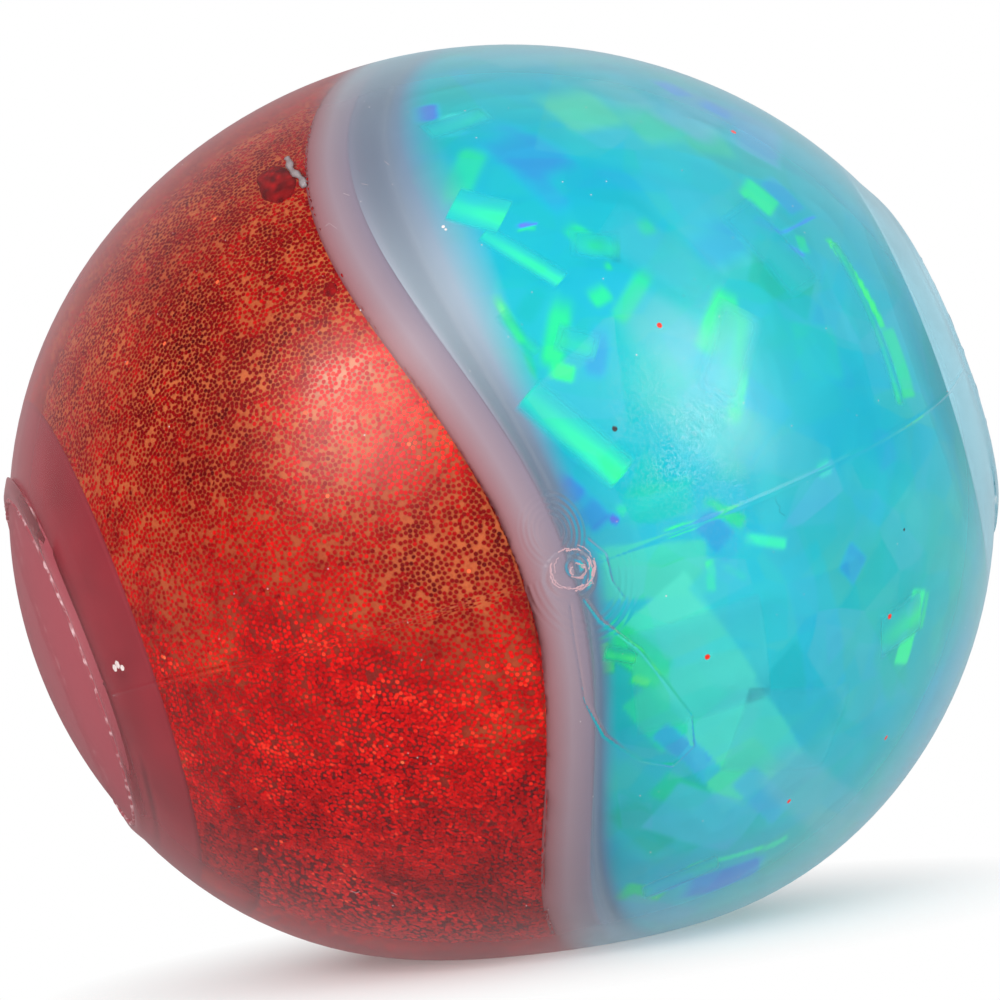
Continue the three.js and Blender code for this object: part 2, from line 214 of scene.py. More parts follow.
def new_material(name):
    """An empty node material, and its nodes."""
    made = bpy.data.materials.new(name)
    made.use_nodes = True
    made.node_tree.nodes.clear()
    return made, made.node_tree


def surfaced(made, shader):
    """The material, with a shader as its surface."""
    add_node(made.node_tree, "ShaderNodeOutputMaterial", {"Surface": shader})
    return made


# Shape helpers, in millimetres and in the moulding's frame about the ball's middle


def sizes():
    """The sizes in millimetres."""
    s = bpy.context.scene.ball_sizes
    return {key: getattr(s, key) * 1000 for key in
            ("width", "height", "foot", "wall", "end_wall", "flake", "flake_pitch")}


def unit(ways):
    """Directions of length one."""
    return ways / np.linalg.norm(ways, axis=-1, keepdims=True)


def beside(normal):
    """The directions square to a normal: the one nearest the pole axis, and the one across it."""
    run = unit(np.array([1.0, 0, 0]) - normal * normal[0])
    return run, np.cross(normal, run)


def turned(azimuth):
    """Azimuths from minus pi to pi."""
    return (azimuth + pi) % (2 * pi) - pi


def eased(share):
    """A share from 0 to 1 that starts and stops softly."""
    return share * share * (3 - 2 * share)


def around(count):
    """Azimuths right round the pole axis."""
    return np.linspace(0, 2 * pi, count, endpoint=False)


def outward(azimuth):
    """Directions square to the pole axis. Azimuth 0 is the side that holds the gate, 90 degrees is up."""
    azimuth = np.asarray(azimuth, float)
    return np.stack([np.zeros_like(azimuth), -np.cos(azimuth), np.sin(azimuth)], -1)


def on_plane(station, radius, azimuth):
    """Points at a station along the pole axis, at a radius from it."""
    points = outward(azimuth) * np.asarray(radius, float)[..., None]
    points[..., 0] = station
    return points


def form_reach(inset, way):
    """How far the sagged ball, drawn in by inset, lies from its middle along unit directions."""
    s = sizes()
    wide, high = s["width"] / 2 - inset, s["height"] / 2 - inset
    rise = way @ WORLD_UP
    reach = 1 / np.sqrt(1 / wide ** 2 + (1 / high ** 2 - 1 / wide ** 2) * rise ** 2)
    bulge = 2 * 0.012 * rise ** 2 * (1 - rise ** 2) * (1 - rise)
    return reach * (1 + bulge) - 0.87 * s["foot"] * np.exp(-(1 + rise) / 0.07)


def form_radius(inset, station, azimuth):
    """How far the sagged ball, drawn in by inset, lies from the pole axis."""
    station, azimuth = np.broadcast_arrays(np.asarray(station, float), np.asarray(azimuth, float))
    radius = np.sqrt(np.maximum((sizes()["width"] / 2 - inset) ** 2 - station ** 2, 0))
    for _ in range(SOLVE_ROUNDS):
        way = unit(on_plane(station, radius, azimuth))
        radius = np.sqrt(np.maximum(form_reach(inset, way) ** 2 - station ** 2, 0))
    return radius


def divider_station(radius, azimuth):
    """The middle of the wavy wall."""
    share = radius / WAVE_RADIUS
    return -10.45 * np.cos(azimuth) * share + 5.44 * np.cos(3 * azimuth) * share ** 3


def port(side):
    """A port's pole on the round skin, its turned axes, and the depth of the chamber's end."""
    pole = np.array([side, 0.0, 0.0])
    pole = pole * form_reach(0, pole)
    s = sizes()
    wide, high = s["width"] / 2, s["height"] / 2
    normal = pole / wide ** 2 + (1 / high ** 2 - 1 / wide ** 2) * (pole @ WORLD_UP) * WORLD_UP
    normal = unit(normal)
    turn = np.array(Vector((side, 0, 0)).rotation_difference(Vector(normal)).to_matrix())
    return pole, turn, abs(pole[0]) - (wide - s["end_wall"])


def port_points(side, radius, depth, azimuth):
    """Points in a port's own frame: a radius from its axis and a depth under the round skin's pole."""
    pole, turn, _ = port(side)
    local = on_plane(-side * depth, np.broadcast_to(radius, azimuth.shape), azimuth)
    return pole + local @ turn.T


def noise3(points, scale, seed):
    """Smooth value noise from -1 to 1 over points, with cells of one scale."""
    rng = np.random.default_rng(seed)
    table = rng.uniform(-1, 1, 4096)
    p = np.asarray(points, float) / scale + 100
    base = np.floor(p).astype(int)
    part = p - base
    part = eased(part)
    total = np.zeros(p.shape[:-1])
    for corner in range(8):
        step = np.array([corner & 1, corner >> 1 & 1, corner >> 2 & 1])
        cell = base + step
        key = (cell[..., 0] * 73856093 ^ cell[..., 1] * 19349663 ^ cell[..., 2] * 83492791) % 4096
        weight = np.prod(np.where(step, part, 1 - part), axis=-1)
        total += table[key] * weight
    return total


def to_world(points):
    """Points of the moulding's frame in metres, in the row frame."""
    s = sizes()
    world = np.asarray(points, float) @ MOULD.T
    world[..., 2] += s["height"] / 2 - s["foot"]
    return world * MM


def make_object(name, points, faces, materials, smooth=True, sharp=None, world=False):
    """A mesh object from points in the moulding's frame, or in metres where world is set."""
    flat = points.reshape(-1, 3) if world else to_world(points.reshape(-1, 3))
    mesh = bpy.data.meshes.new(name)
    faces = np.asarray(faces)
    mesh.vertices.add(len(flat))
    mesh.vertices.foreach_set("co", flat.ravel())
    corners = faces.shape[1]
    mesh.loops.add(faces.size)
    mesh.loops.foreach_set("vertex_index", faces.ravel())
    mesh.polygons.add(len(faces))
    mesh.polygons.foreach_set("loop_start", np.arange(len(faces)) * corners)
    mesh.polygons.foreach_set("use_smooth", np.full(len(faces), smooth))
    mesh.update(calc_edges=True)
    mesh.validate()
    for material in materials:
        mesh.materials.append(material)
    if sharp is not None:
        mesh.set_sharp_from_angle(angle=radians(sharp))
    made = bpy.data.objects.new(name, mesh)
    bpy.context.scene.collection.objects.link(made)
    return made


def positions(mesh):
    """Where a mesh's vertices are, in metres."""
    points = np.empty(len(mesh.vertices) * 3)
    mesh.vertices.foreach_get("co", points)
    return points.reshape(-1, 3)


def face_out(made):
    """Turns a closed mesh's faces outwards."""
    mesh = made.data
    mesh.calc_loop_triangles()
    points = positions(mesh)
    tris = np.empty(len(mesh.loop_triangles) * 3, int)
    mesh.loop_triangles.foreach_get("vertices", tris)
    a, b, c = (points[tris.reshape(-1, 3)[:, at]] for at in range(3))
    if np.einsum("ij,ij->i", a, np.cross(b, c)).sum() < 0:
        mesh.flip_normals()


def set_values(made, name, values):
    """Gives each vertex a number under a name."""
    layer = made.data.attributes.new(name, "FLOAT", "POINT")
    layer.data.foreach_set("value", np.asarray(values, float).ravel())


def loft_faces(rings, columns):
    """Quads between closed rings, in order."""
    at = np.arange(rings - 1)[:, None] * columns + np.arange(columns)[None, :]
    nxt = np.arange(rings - 1)[:, None] * columns + (np.arange(columns)[None, :] + 1) % columns
    return np.stack([at, nxt, nxt + columns, at + columns], -1).reshape(-1, 4)


def weld(made):
    """Joins a mesh's coinciding points, closes its holes and turns its faces outwards."""
    work = bmesh.new()
    work.from_mesh(made.data)
    bmesh.ops.remove_doubles(work, verts=work.verts, dist=1e-7)
    bmesh.ops.holes_fill(work, edges=[e for e in work.edges if e.is_boundary], sides=0)
    work.to_mesh(made.data)
    work.free()
    made.data.polygons.foreach_set("use_smooth", np.ones(len(made.data.polygons), bool))
    face_out(made)


def slab_faces(across, along):
    """Quads of a closed slab over a grid: its outer face, its inner face and its four edges."""
    row = across + 1
    inner = row * (along + 1)
    at = (np.arange(along)[:, None] * row + np.arange(across)[None, :]).ravel()
    low = np.arange(along) * row
    high, start, end = low + across, np.arange(across), np.arange(across) + along * row
    return np.concatenate([
        np.stack([at, at + 1, at + row + 1, at + row], -1),
        np.stack([at + row, at + row + 1, at + 1, at], -1) + inner,
        np.stack([low + row, inner + low + row, inner + low, low], -1),
        np.stack([high, inner + high, inner + high + row, high + row], -1),
        np.stack([start, inner + start, inner + start + 1, start + 1], -1),
        np.stack([end + 1, inner + end + 1, inner + end, end], -1)])


def closed_loft(name, rings, materials, sharp=30):
    """A closed body over rings. Its first and last rings are drawn in to a point."""
    count, columns = rings.shape[:2]
    made = make_object(name, rings, loft_faces(count, columns), materials)
    weld(made)
    if sharp is not None:
        made.data.set_sharp_from_angle(angle=radians(sharp))
    return made


def tubes(name, paths, material):
    """Closed tubes along paths of points over the ball, each with a radius at every point."""
    points, faces, at = [], [], 0
    for path, radius in paths:
        path = np.asarray(path, float)
        run = unit(np.gradient(path, axis=0))
        side = unit(np.cross(run, path))
        up = np.cross(side, run)
        radius = np.broadcast_to(radius, len(path))[:, None]
        rings = np.stack([path + (side * cos(k * pi / 3) + up * sin(k * pi / 3)) * radius for k in range(6)],
                         1)
        rings = np.concatenate([np.repeat(path[:1, None], 6, 1), rings, np.repeat(path[-1:, None], 6, 1)])
        points.append(rings.reshape(-1, 3))
        faces.append(loft_faces(len(rings), 6) + at)
        at += rings.shape[0] * 6
    made = make_object(name, np.concatenate(points), np.concatenate(faces), [material])
    weld(made)
    return made


def over_skin(spots, lift):
    """Points over the skin from (station, azimuth in degrees) pairs."""
    spots = np.asarray(spots, float)
    turn = np.radians(spots[..., 1])
    return on_plane(spots[..., 0], form_radius(-lift, spots[..., 0], turn), turn)


def drawn(spots, steps):
    """A smooth line of (station, azimuth) pairs through given ones."""
    spots = np.asarray(spots, float)
    run = np.concatenate([[0], np.cumsum(np.hypot(*np.diff(spots, axis=0).T))])
    at = np.linspace(0, run[-1], steps)
    return np.stack([np.interp(at, run, spots[:, k]) for k in range(2)], -1)


def closed_end(rings):
    """Rings, with their last one drawn in to a point."""
    shrunk = [rings[-1] * share for share in (0.66, 0.33, 0.0)]
    for ring in shrunk:
        ring[:, 0] = rings[-1][:, 0]
    return np.array(rings + shrunk)


FACE_STEPS, FILLET_STEPS = 6, 4


def chamber_profile(side, inset, gap, end, azimuth, wall_steps, fillet):
    """Rings of a chamber's space: the wavy wall's face, its fillet, then the outer wall to the end."""
    wide = sizes()["width"] / 2 - inset

    def face(radius):
        return side * (HALF_WALL + gap) + divider_station(radius, azimuth)

    corner = np.full(azimuth.shape, wide)
    for _ in range(SOLVE_ROUNDS):
        corner = form_radius(inset, face(corner), azimuth)
    flat = corner - fillet
    rings = [np.stack([face(flat * share), flat * share], -1)
             for share in np.linspace(1 / FACE_STEPS, 1, FACE_STEPS)]
    start = rings[-1]
    tip = np.stack([face(corner), corner], -1)
    wall_start = tip[:, 0] + side * fillet
    stop = np.stack([wall_start, form_radius(inset, wall_start, azimuth)], -1)
    for t in np.linspace(0, 1, FILLET_STEPS + 2)[1:-1]:
        rings.append((1 - t) ** 2 * start + 2 * t * (1 - t) * tip + t * t * stop)
    first, last = np.arcsin(wall_start / wide), side * asin(end / wide)
    for t in np.linspace(0, 1, wall_steps + 1):
        station = wide * np.sin(first + (last - first) * t)
        rings.append(np.stack([station, form_radius(inset, station, azimuth)], -1))
    return np.array(rings)


# Materials


def plain(name, colour, roughness, specular=0.5):
    """A single-coloured material for a mark too small to show more."""
    made, tree = new_material(name)
    return surfaced(made, principled(tree, linear(colour), roughness, specular))


def let_lamps_through(tree, surface):
    """Clear rubber shades nothing: lamps and the room's light pass straight through it to the filling."""
    ray = add_node(tree, "ShaderNodeLightPath")
    open_ray = calc(tree, "MAXIMUM", (ray, "Is Shadow Ray"), (ray, "Is Diffuse Ray"))
    free = add_node(tree, "ShaderNodeBsdfTransparent", {"Color": WHITE})
    return mix_shaders(tree, open_ray, surface, (free, 0))


def clear_rubber():
    """Clear thermoplastic rubber, moulded in a satin mould: clear, with a soft gloss and a milky bloom."""
    made, tree = new_material("clear_thermoplastic_rubber_satin_moulded")
    c = bpy.context.scene.ball_colours
    side, rub = attribute(tree, "film"), attribute(tree, "rub")
    # A moulded satin skin has a fine orange peel, about 0.9 mm across, and finer scuffs.
    peel, scuff = noise(tree, 1100.0, 2.0), noise(tree, 3300.0, 1.0)
    height = add_node(tree, "ShaderNodeMix", {"Factor": 0.35, "A": peel, "B": scuff}), "Result"
    # Where the ball was handled its skin has fine crinkled scratches, about 0.6 mm apart.
    crinkle = noise(tree, 1500.0, 3.0, Distortion=1.5)
    worn = calc(tree, "MULTIPLY_ADD", crinkle, rub, height)
    soft = bump(tree, worn, remap(tree, rub, 0.5, 8.0, 0.07, 1.0), PEEL_DEPTH)
    rough = calc(tree, "MULTIPLY", remap(tree, noise(tree, 70.0, 3.0), 0.0, 1.0, 0.24, 0.36),
                 remap(tree, rub, 0.5, 6.0, 1.0, 0.35))
    gloss = add_node(tree, "ShaderNodeBsdfGlossy",
                     {"Roughness": rough, "Color": WHITE, "Normal": bump(tree, worn, 0.4, PEEL_DEPTH)})
    # The liquid beside the film is cloudy, which the skin's refraction stands in for.
    murk = remap(tree, side, 0.0, 1.0, 0.01, 0.08)
    through = add_node(tree, "ShaderNodeBsdfRefraction",
                       {"IOR": 1.4, "Roughness": murk, "Color": WHITE, "Normal": soft})
    edge = add_node(tree, "ShaderNodeFresnel", {"IOR": 1.4, "Normal": soft})
    clear = mix_shaders(tree, (edge, "Fac"), (through, 0), (gloss, 0))
    # The bloom: rubber seen edge on is milky.
    graze = add_node(tree, "ShaderNodeLayerWeight", {"Blend": 0.28})
    milk = ramp(tree, (graze, "Facing"), [(0.0, 0.0), (0.26, 0.015), (0.42, 0.1), (0.6, 0.38), (1.0, 0.8)])
    bloom = ramp(tree, side, [(0.0, c.bloom_red), (1.0, c.bloom_film)])
    haze = add_node(tree, "ShaderNodeBsdfDiffuse", {"Color": bloom})
    # The creases of the worn patch scatter light, and show as fine pale strokes.
    crease = ramp(tree, crinkle, [(0.45, 0.0), (0.5, 1.0), (0.55, 0.0)])
    cloudy = calc(tree, "MULTIPLY_ADD", crease, remap(tree, rub, 0.8, 6.0, 0.0, 0.4), milk, clamp=True)
    body = mix_shaders(tree, cloudy, clear, (haze, 0))
    return surfaced(made, let_lamps_through(tree, body))


def milky_wall():
    """The same rubber in a thick section, lit through by both fillings: rose to lavender."""
    made, tree = new_material("thermoplastic_rubber_thick_section")
    c = bpy.context.scene.ball_colours
    shift = calc(tree, "MULTIPLY_ADD", noise(tree, 90.0, 3.0), 0.05, attribute(tree, "across"))
    # The glitter's red shows through its edge.
    tint = ramp(tree, shift, [(0.03, "85484C"), (0.08, "8E5C60"), (0.18, c.wall_red), (0.55, "98848E"),
                              (1.0, c.wall_film)])
    return surfaced(made, principled(tree, tint, 0.6, 0.1, IOR=1.45))


def dyed_liquid():
    """Glitter liquid, seen between the flakes: orange-brown, pale pink-orange under a painted highlight, and
    red to maroon lower down, where the glitter is deep.
    """
    made, tree = new_material(LIQUID)
    c = bpy.context.scene.ball_colours
    drift = remap(tree, noise(tree, 110.0, 4.0), 0.3, 0.7, -0.09, 0.09)
    # Its palest stop is a painted highlight, where the left softbox falls on the liquid.
    tint = ramp(tree, calc(tree, "ADD", drift, attribute(tree, "low")),
                [(0.08, "E8B49C"), (0.24, c.ground), (0.42, "B45230"), (0.54, "A84428"), (0.66, "8C2A20"),
                 (0.8, "66181C"), (1.0, "4A1016")])
    # Deeper flakes, 0.4 mm across like the near ones, darken the liquid in round spots.
    place = add_node(tree, "ShaderNodeTexCoord")
    cells = add_node(tree, "ShaderNodeTexVoronoi", {"Vector": (place, "Object"), "Scale": 1900.0})
    spots = ramp(tree, (cells, "Distance"), [(0.28, 1.0), (0.5, 0.0)])
    colour = mix_colours(tree, calc(tree, "MULTIPLY", spots, 0.22), tint, linear("7A0E10"))
    return surfaced(made, principled(tree, colour, 0.5, 0.0))


def red_flake():
    """Polyester glitter, metallised and die cut: each flake is a small flat mirror in red, drawn matt, with
    its mirroring painted into its colour as a painted reflection, from dark red to bright orange-red.
    """
    made, tree = new_material(FLAKES)
    tint = ramp(tree, attribute(tree, "shade"), [(0.0, "560406"), (0.3, "8A070A"), (0.55, "BA0C0E"),
                                                 (0.78, "E61410"), (0.9, "F84028"), (1.0, "FF8450")])
    return surfaced(made, principled(tree, tint, 0.4, 0.0))


def film_tint(tree):
    """The film's tint at a place: from violet through blue, cyan and teal to green, paler where it is far in
    and under painted highlights, and brighter where a painted highlight lights it."""
    c = bpy.context.scene.ball_colours
    place = add_node(tree, "ShaderNodeTexCoord")
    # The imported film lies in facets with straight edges, 4 to 8 mm across, and each turns the tint a little.
    facets = []
    for turn, stretch, scale in (((0.4, 0.2, 0.9), (1.0, 0.45, 1.0), 130.0),
                                 ((1.1, 0.5, 0.3), (0.4, 1.0, 1.0), 240.0)):
        lie = add_node(tree, "ShaderNodeMapping",
                       {"Vector": (place, "Object"), "Rotation": turn, "Scale": stretch})
        cells = add_node(tree, "ShaderNodeTexVoronoi", {"Vector": (lie, "Vector"), "Scale": scale})
        facets.append((cells, "Color"))
    parts = add_node(tree, "ShaderNodeSeparateColor", {"Color": mix_colours(tree, 0.4, *facets)})
    total = calc(tree, "ADD", attribute(tree, "tone"), remap(tree, (parts, "Red"), 0.0, 1.0, -0.09, 0.09))
    tint = ramp(tree, total, [(0.0, "4450C0"), (0.14, "3478CC"), (0.28, "2498CC"), (0.42, c.film),
                              (0.6, "12B0B4"), (0.74, "10B098"), (0.87, "12C888"), (1.0, "3CD86C")])
    # The glow ramp is a painted highlight, mixed in where the film is painted lit.
    glow = ramp(tree, total, [(0.0, "7C74E8"), (0.2, "48A4F0"), (0.42, "40D4E0"), (0.6, "38E4C0"),
                              (0.8, "30F494"), (1.0, "6CFF70")])
    bright = mix_colours(tree, attribute(tree, "lit"), tint, glow)
    faded = remap(tree, (parts, "Green"), 0.0, 1.0, -0.08, 0.1)
    wash = calc(tree, "ADD", attribute(tree, "pale"), faded, clamp=True)
    return mix_colours(tree, wash, bright, linear("98C4D0"))


def murky_film():
    """Crumpled iridescent film packed in liquid: a soft cyan depth, and milky lavender where only liquid and
    the wavy wall lie behind."""
    made, tree = new_material("iridescent_film_crumpled_in_liquid")
    open_water = attribute(tree, "open")
    behind = ramp(tree, open_water, [(0.0, "3C9CBC"), (0.35, "688CAC"), (0.65, "7A8698"), (1.0, "7A7889")])
    # A painted highlight: the liquid behind the film is painted paler where it faces the left softbox.
    behind_with_painted_glow = mix_colours(tree, attribute(tree, "mist"), behind, linear("B4C0CA"))
    amount = ramp(tree, open_water, [(0.0, 0.0), (0.5, 1.0)])
    colour = mix_colours(tree, amount, film_tint(tree), behind_with_painted_glow)
    return surfaced(made, principled(tree, colour, 0.42, 0.05, IOR=1.4))


def cut_film():
    """Iridescent film, cut in strips: it takes the tint of its place, carries a painted highlight where it is
    painted as facing the light, and fades out along its long sides, where it lies edge on to the eye."""
    made, tree = new_material("iridescent_film_cut_strips")
    surface = principled(tree, film_tint(tree), 0.35, 0.1)
    free = add_node(tree, "ShaderNodeBsdfTransparent", {"Color": WHITE})
    # Film this thin casts no shadow to speak of, and shades nothing from the room.
    ray = add_node(tree, "ShaderNodeLightPath")
    lamp = calc(tree, "SUBTRACT", 1.0, (ray, "Is Shadow Ray"))
    lamp = calc(tree, "SUBTRACT", lamp, (ray, "Is Diffuse Ray"), clamp=True)
    amount = calc(tree, "MULTIPLY", attribute(tree, "cover"), lamp)
    return surfaced(made, mix_shaders(tree, amount, (free, 0), surface))


def thick_end(side, colour):
    """Rubber in the thick section at a chamber's end, tinted by the filling behind it and faintly clouded."""
    made, tree = new_material("thermoplastic_rubber_thick_end_" + side)
    value = remap(tree, noise(tree, 120.0, 4.0), 0.3, 0.7, 0.85, 1.15)
    tint = add_node(tree, "ShaderNodeHueSaturation", {"Color": linear(colour), "Value": value})
    return surfaced(made, let_lamps_through(tree, principled(tree, (tint, "Color"), 0.6, 0.1)))


def plug_rubber(side, colour):
    """The plug's rubber: clear, moulded with a satin face, milky in its thick head."""
    made, tree = new_material("thermoplastic_rubber_plug_satin_moulded_" + side)
    peel = bump(tree, noise(tree, 900.0, 2.0), 0.3, PEEL_DEPTH)
    surface = principled(tree, linear(colour), 0.4, 0.25, IOR=1.4, Normal=peel)
    free = add_node(tree, "ShaderNodeBsdfTransparent", {"Color": WHITE})
    return surfaced(made, let_lamps_through(tree, mix_shaders(tree, 0.15, surface, (free, 0))))


def set_glue(side, low, high):
    """Rubber glue, squeezed out and set: pale and wrinkled, and tinted by the chamber behind it; its palest
    colour on the folds is partly a painted highlight.
    """
    made, tree = new_material("rubber_glue_set_wrinkled_" + side)
    folds = noise(tree, 800.0, 3.0)
    tint = ramp(tree, folds, [(0.5, low), (0.68, high)])
    return surfaced(made, principled(tree, tint, 0.45, Normal=bump(tree, folds, 0.8, 0.0002)))


# The pieces


def skin_relief(station, azimuth, radius):
    """How far the moulding's small features stand out of the round skin, in mm."""
    turn = turned(azimuth)
    run = radius * turn
    other = radius * (azimuth % (2 * pi) - pi)
    seam = 0.1 * np.exp(-(run / 0.2) ** 2) + 0.1 * np.exp(-(other / 0.2) ** 2)
    up = 0.03 * (1 / (1 + np.exp(-np.clip(run / 0.15, -40, 40))))
    total = seam + np.where(np.abs(turn) < pi / 2, up, 0.0)
    near = (np.abs(turn) < radians(40)) & (station > -9) & (station < 6)
    x, y = station[near], run[near]

    def ring(cx, cy, size, high, wide, crinkle, seed):
        dx, dy = x - cx, y - cy
        distance = np.hypot(dx, dy)
        angle = np.arctan2(dy, dx)
        wobble = sum(np.sin(k * angle + k * k + seed) / k for k in (3, 5, 8, 13)) * crinkle
        return high * np.exp(-((distance - size - wobble) / wide) ** 2)

    def line(points, high, wide):
        points = np.array([(h, GATE_RADIUS * radians(a)) for h, a in points])
        best = np.full(x.shape, 1e9)
        for (ax, ay), (bx, by) in zip(points[:-1], points[1:]):
            dx, dy = bx - ax, by - ay
            along = np.clip(((x - ax) * dx + (y - ay) * dy) / (dx ** 2 + dy ** 2), 0, 1)
            best = np.minimum(best, np.hypot(x - ax - along * dx, y - ay - along * dy))
        return high * np.exp(-(best / wide) ** 2)

    detail = ring(-3.7, -0.4, 2.3, 0.2, 0.26, 0.12, 1.0)
    detail += ring(-3.7, -0.4, 1.7, 0.1, 0.2, 0.16, 2.2)
    detail += ring(-2.9, 0.2, 0.75, 0.28, 0.25, 0.05, 0.3)
    # Flow ripples round the gate, like the lines of a fingerprint
    away = np.hypot(x + 4.0, (y - 4.2) * 0.8)
    fade = np.clip((away - 0.8) / 0.5, 0, 1) * np.clip((3.6 - away) / 0.9, 0, 1)
    detail += 0.035 * fade * np.cos(away * 2 * pi / 0.5)
    away = np.hypot(x + 2.6, (y + 0.4) * 0.75)
    fade = np.clip((away - 3.2) / 0.5, 0, 1) * np.clip((5.8 - away) / 0.8, 0, 1) * (y < 0)
    detail += 0.035 * fade * np.cos(away * 2 * pi / 0.6)
    # A weld line like a worm, and a short one beside the gate
    detail += line([(-3.0, -3.6), (-2.2, -6.3), (0.7, -11.1), (3.9, -20.9), (3.4, -24.8), (1.0, -26.4),
                    (-2.0, -24.2), (-4.8, -19.6), (-5.8, -14.7), (-5.1, -7.6), (-4.5, -3.6)], 0.16, 0.15)
    detail += line([(-1.0, 2.6), (0.2, 0.4), (0.0, -2.6), (0.6, -4.8)], 0.12, 0.14)
    total[near] += detail
    return total


def skin_grid():
    """Columns and rows of the skin, fine where the gate and its run marks are."""
    turns = [np.arange(-31, 11, 0.15), np.arange(11, 175, 2.5), 175 + np.arange(0, 4, 1.0),
             179 + np.arange(0, 2, 0.15), np.arange(181, 185, 1.0), np.arange(185, 329, 2.5)]
    azimuth = np.radians(np.concatenate(turns))
    lean_a, lean_b = asin(-9 / SKIN_RADIUS), asin(6 / SKIN_RADIUS)
    lip = asin(LIP_RADIUS / SKIN_RADIUS)
    lean = np.concatenate([np.linspace(-pi / 2 + lip, lean_a, 26)[:-1],
                           np.arange(lean_a, lean_b, 0.115 / SKIN_RADIUS),
                           np.linspace(lean_b, pi / 2 - lip, 30)])
    return azimuth, lean


class BALL_OT_skin(bpy.types.Operator):
    """Builds the clear moulded skin with its parting line, gate mark, recesses and ports"""
    bl_idname = "ball.skin"
    bl_label = "Skin"

    def execute(self, context):
        azimuth, lean = skin_grid()
        ends = []
        for side in (-1, 1):
            inner, floor = port(side)[2] - 0.3, PORT_FLOOR
            profile = [(0, inner), (5, inner), (10.7, inner), (10.8, inner - 0.1), (10.8, floor + 1.25),
                       (10.85, floor + 1.2), (12.65, floor + 1.2), (12.7, floor + 1.15), (12.7, floor + 0.05),
                       (12.75, floor), (17.8, floor), (17.9, floor - 0.1), (17.9, 3.47),
                       (17.98, 3.39), (18.3, 3.36), (18.62, 3.4), (19.2, 3.7), (20.0, 4.18)]
            ends.append([port_points(side, r, d, azimuth) for r, d in profile])
        rows = []
        lip = asin(LIP_RADIUS / SKIN_RADIUS)
        turns = [(side, port(side)[1].T) for side in (-1, 1)]
        for at in lean:
            way = on_plane(sin(at), np.full(azimuth.shape, cos(at)), azimuth)
            for side, turn in turns:
                blend = np.clip(1 - (pi / 2 - lip - side * at) / radians(24), 0, 1) ** 2
                if blend > 0:
                    way = unit(way * (1 - blend) + (way @ turn) * blend)
            point = way * form_reach(0, way)[:, None]
            rise = skin_relief(point[:, 0], azimuth, np.hypot(point[:, 1], point[:, 2]))
            rows.append(point + way * rise[:, None])
        rings = np.array(ends[0] + rows + ends[1][::-1])
        flat = rings @ MOULD.T
        middle_height = sizes()["height"] / 2 - sizes()["foot"]
        flat[..., 2] = np.maximum(flat[..., 2], -middle_height)
        rings = flat @ MOULD
        made = closed_loft("skin", rings, [clear_rubber()], sharp=38)
        points = positions(made.data) / MM
        points[:, 2] -= middle_height
        points = points @ MOULD
        turn = np.arctan2(points[:, 2], -points[:, 1])
        set_values(made, "film", np.clip((points[:, 0] - divider_station(WAVE_RADIUS, turn)) / 4 + 0.5, 0, 1))
        rub = np.exp(-((points[:, 0] - 12) / 7) ** 2 - ((turn - radians(8)) / radians(11)) ** 2)
        set_values(made, "rub", rub * (5 + 3 * noise3(points, 3.0, 31)))
        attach(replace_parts(made, "ball_body"), "ball")
        return {"FINISHED"}


class BALL_OT_wavy_wall(bpy.types.Operator):
    """Builds the milky core of the wavy wall, which runs right across the ball"""
    bl_idname = "ball.wavy_wall"
    bl_label = "Wavy wall"

    def execute(self, context):
        azimuth = around(240)
        radius = np.full(azimuth.shape, WAVE_RADIUS)
        for _ in range(SOLVE_ROUNDS):
            radius = form_radius(WALL_INSET, divider_station(radius, azimuth), azimuth)
        rings, across = [], []

        def face(shares, side):
            for share in shares:
                r = radius * share
                rings.append(on_plane(divider_station(r, azimuth) + side * HALF_WALL, r, azimuth))
                across.append((side + 1) / 2)

        inner = np.linspace(0.0, 1.0, 12)
        face(inner[:-1], -1)
        for t in np.linspace(0, 1, 13):
            station = divider_station(radius, azimuth) + HALF_WALL * (2 * t - 1)
            rim = form_radius(WALL_INSET + 0.12 * (2 * t - 1) ** 8, station, azimuth)
            rings.append(on_plane(station, rim, azimuth))
            across.append(t)
        face(inner[-2::-1], 1)
        rings = np.array(rings)
        made = make_object("wavy_wall", rings, loft_faces(*rings.shape[:2]), [milky_wall()])
        set_values(made, "across", np.repeat(across, len(azimuth)))
        face_out(made)
        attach(made, "ball")
        return {"FINISHED"}
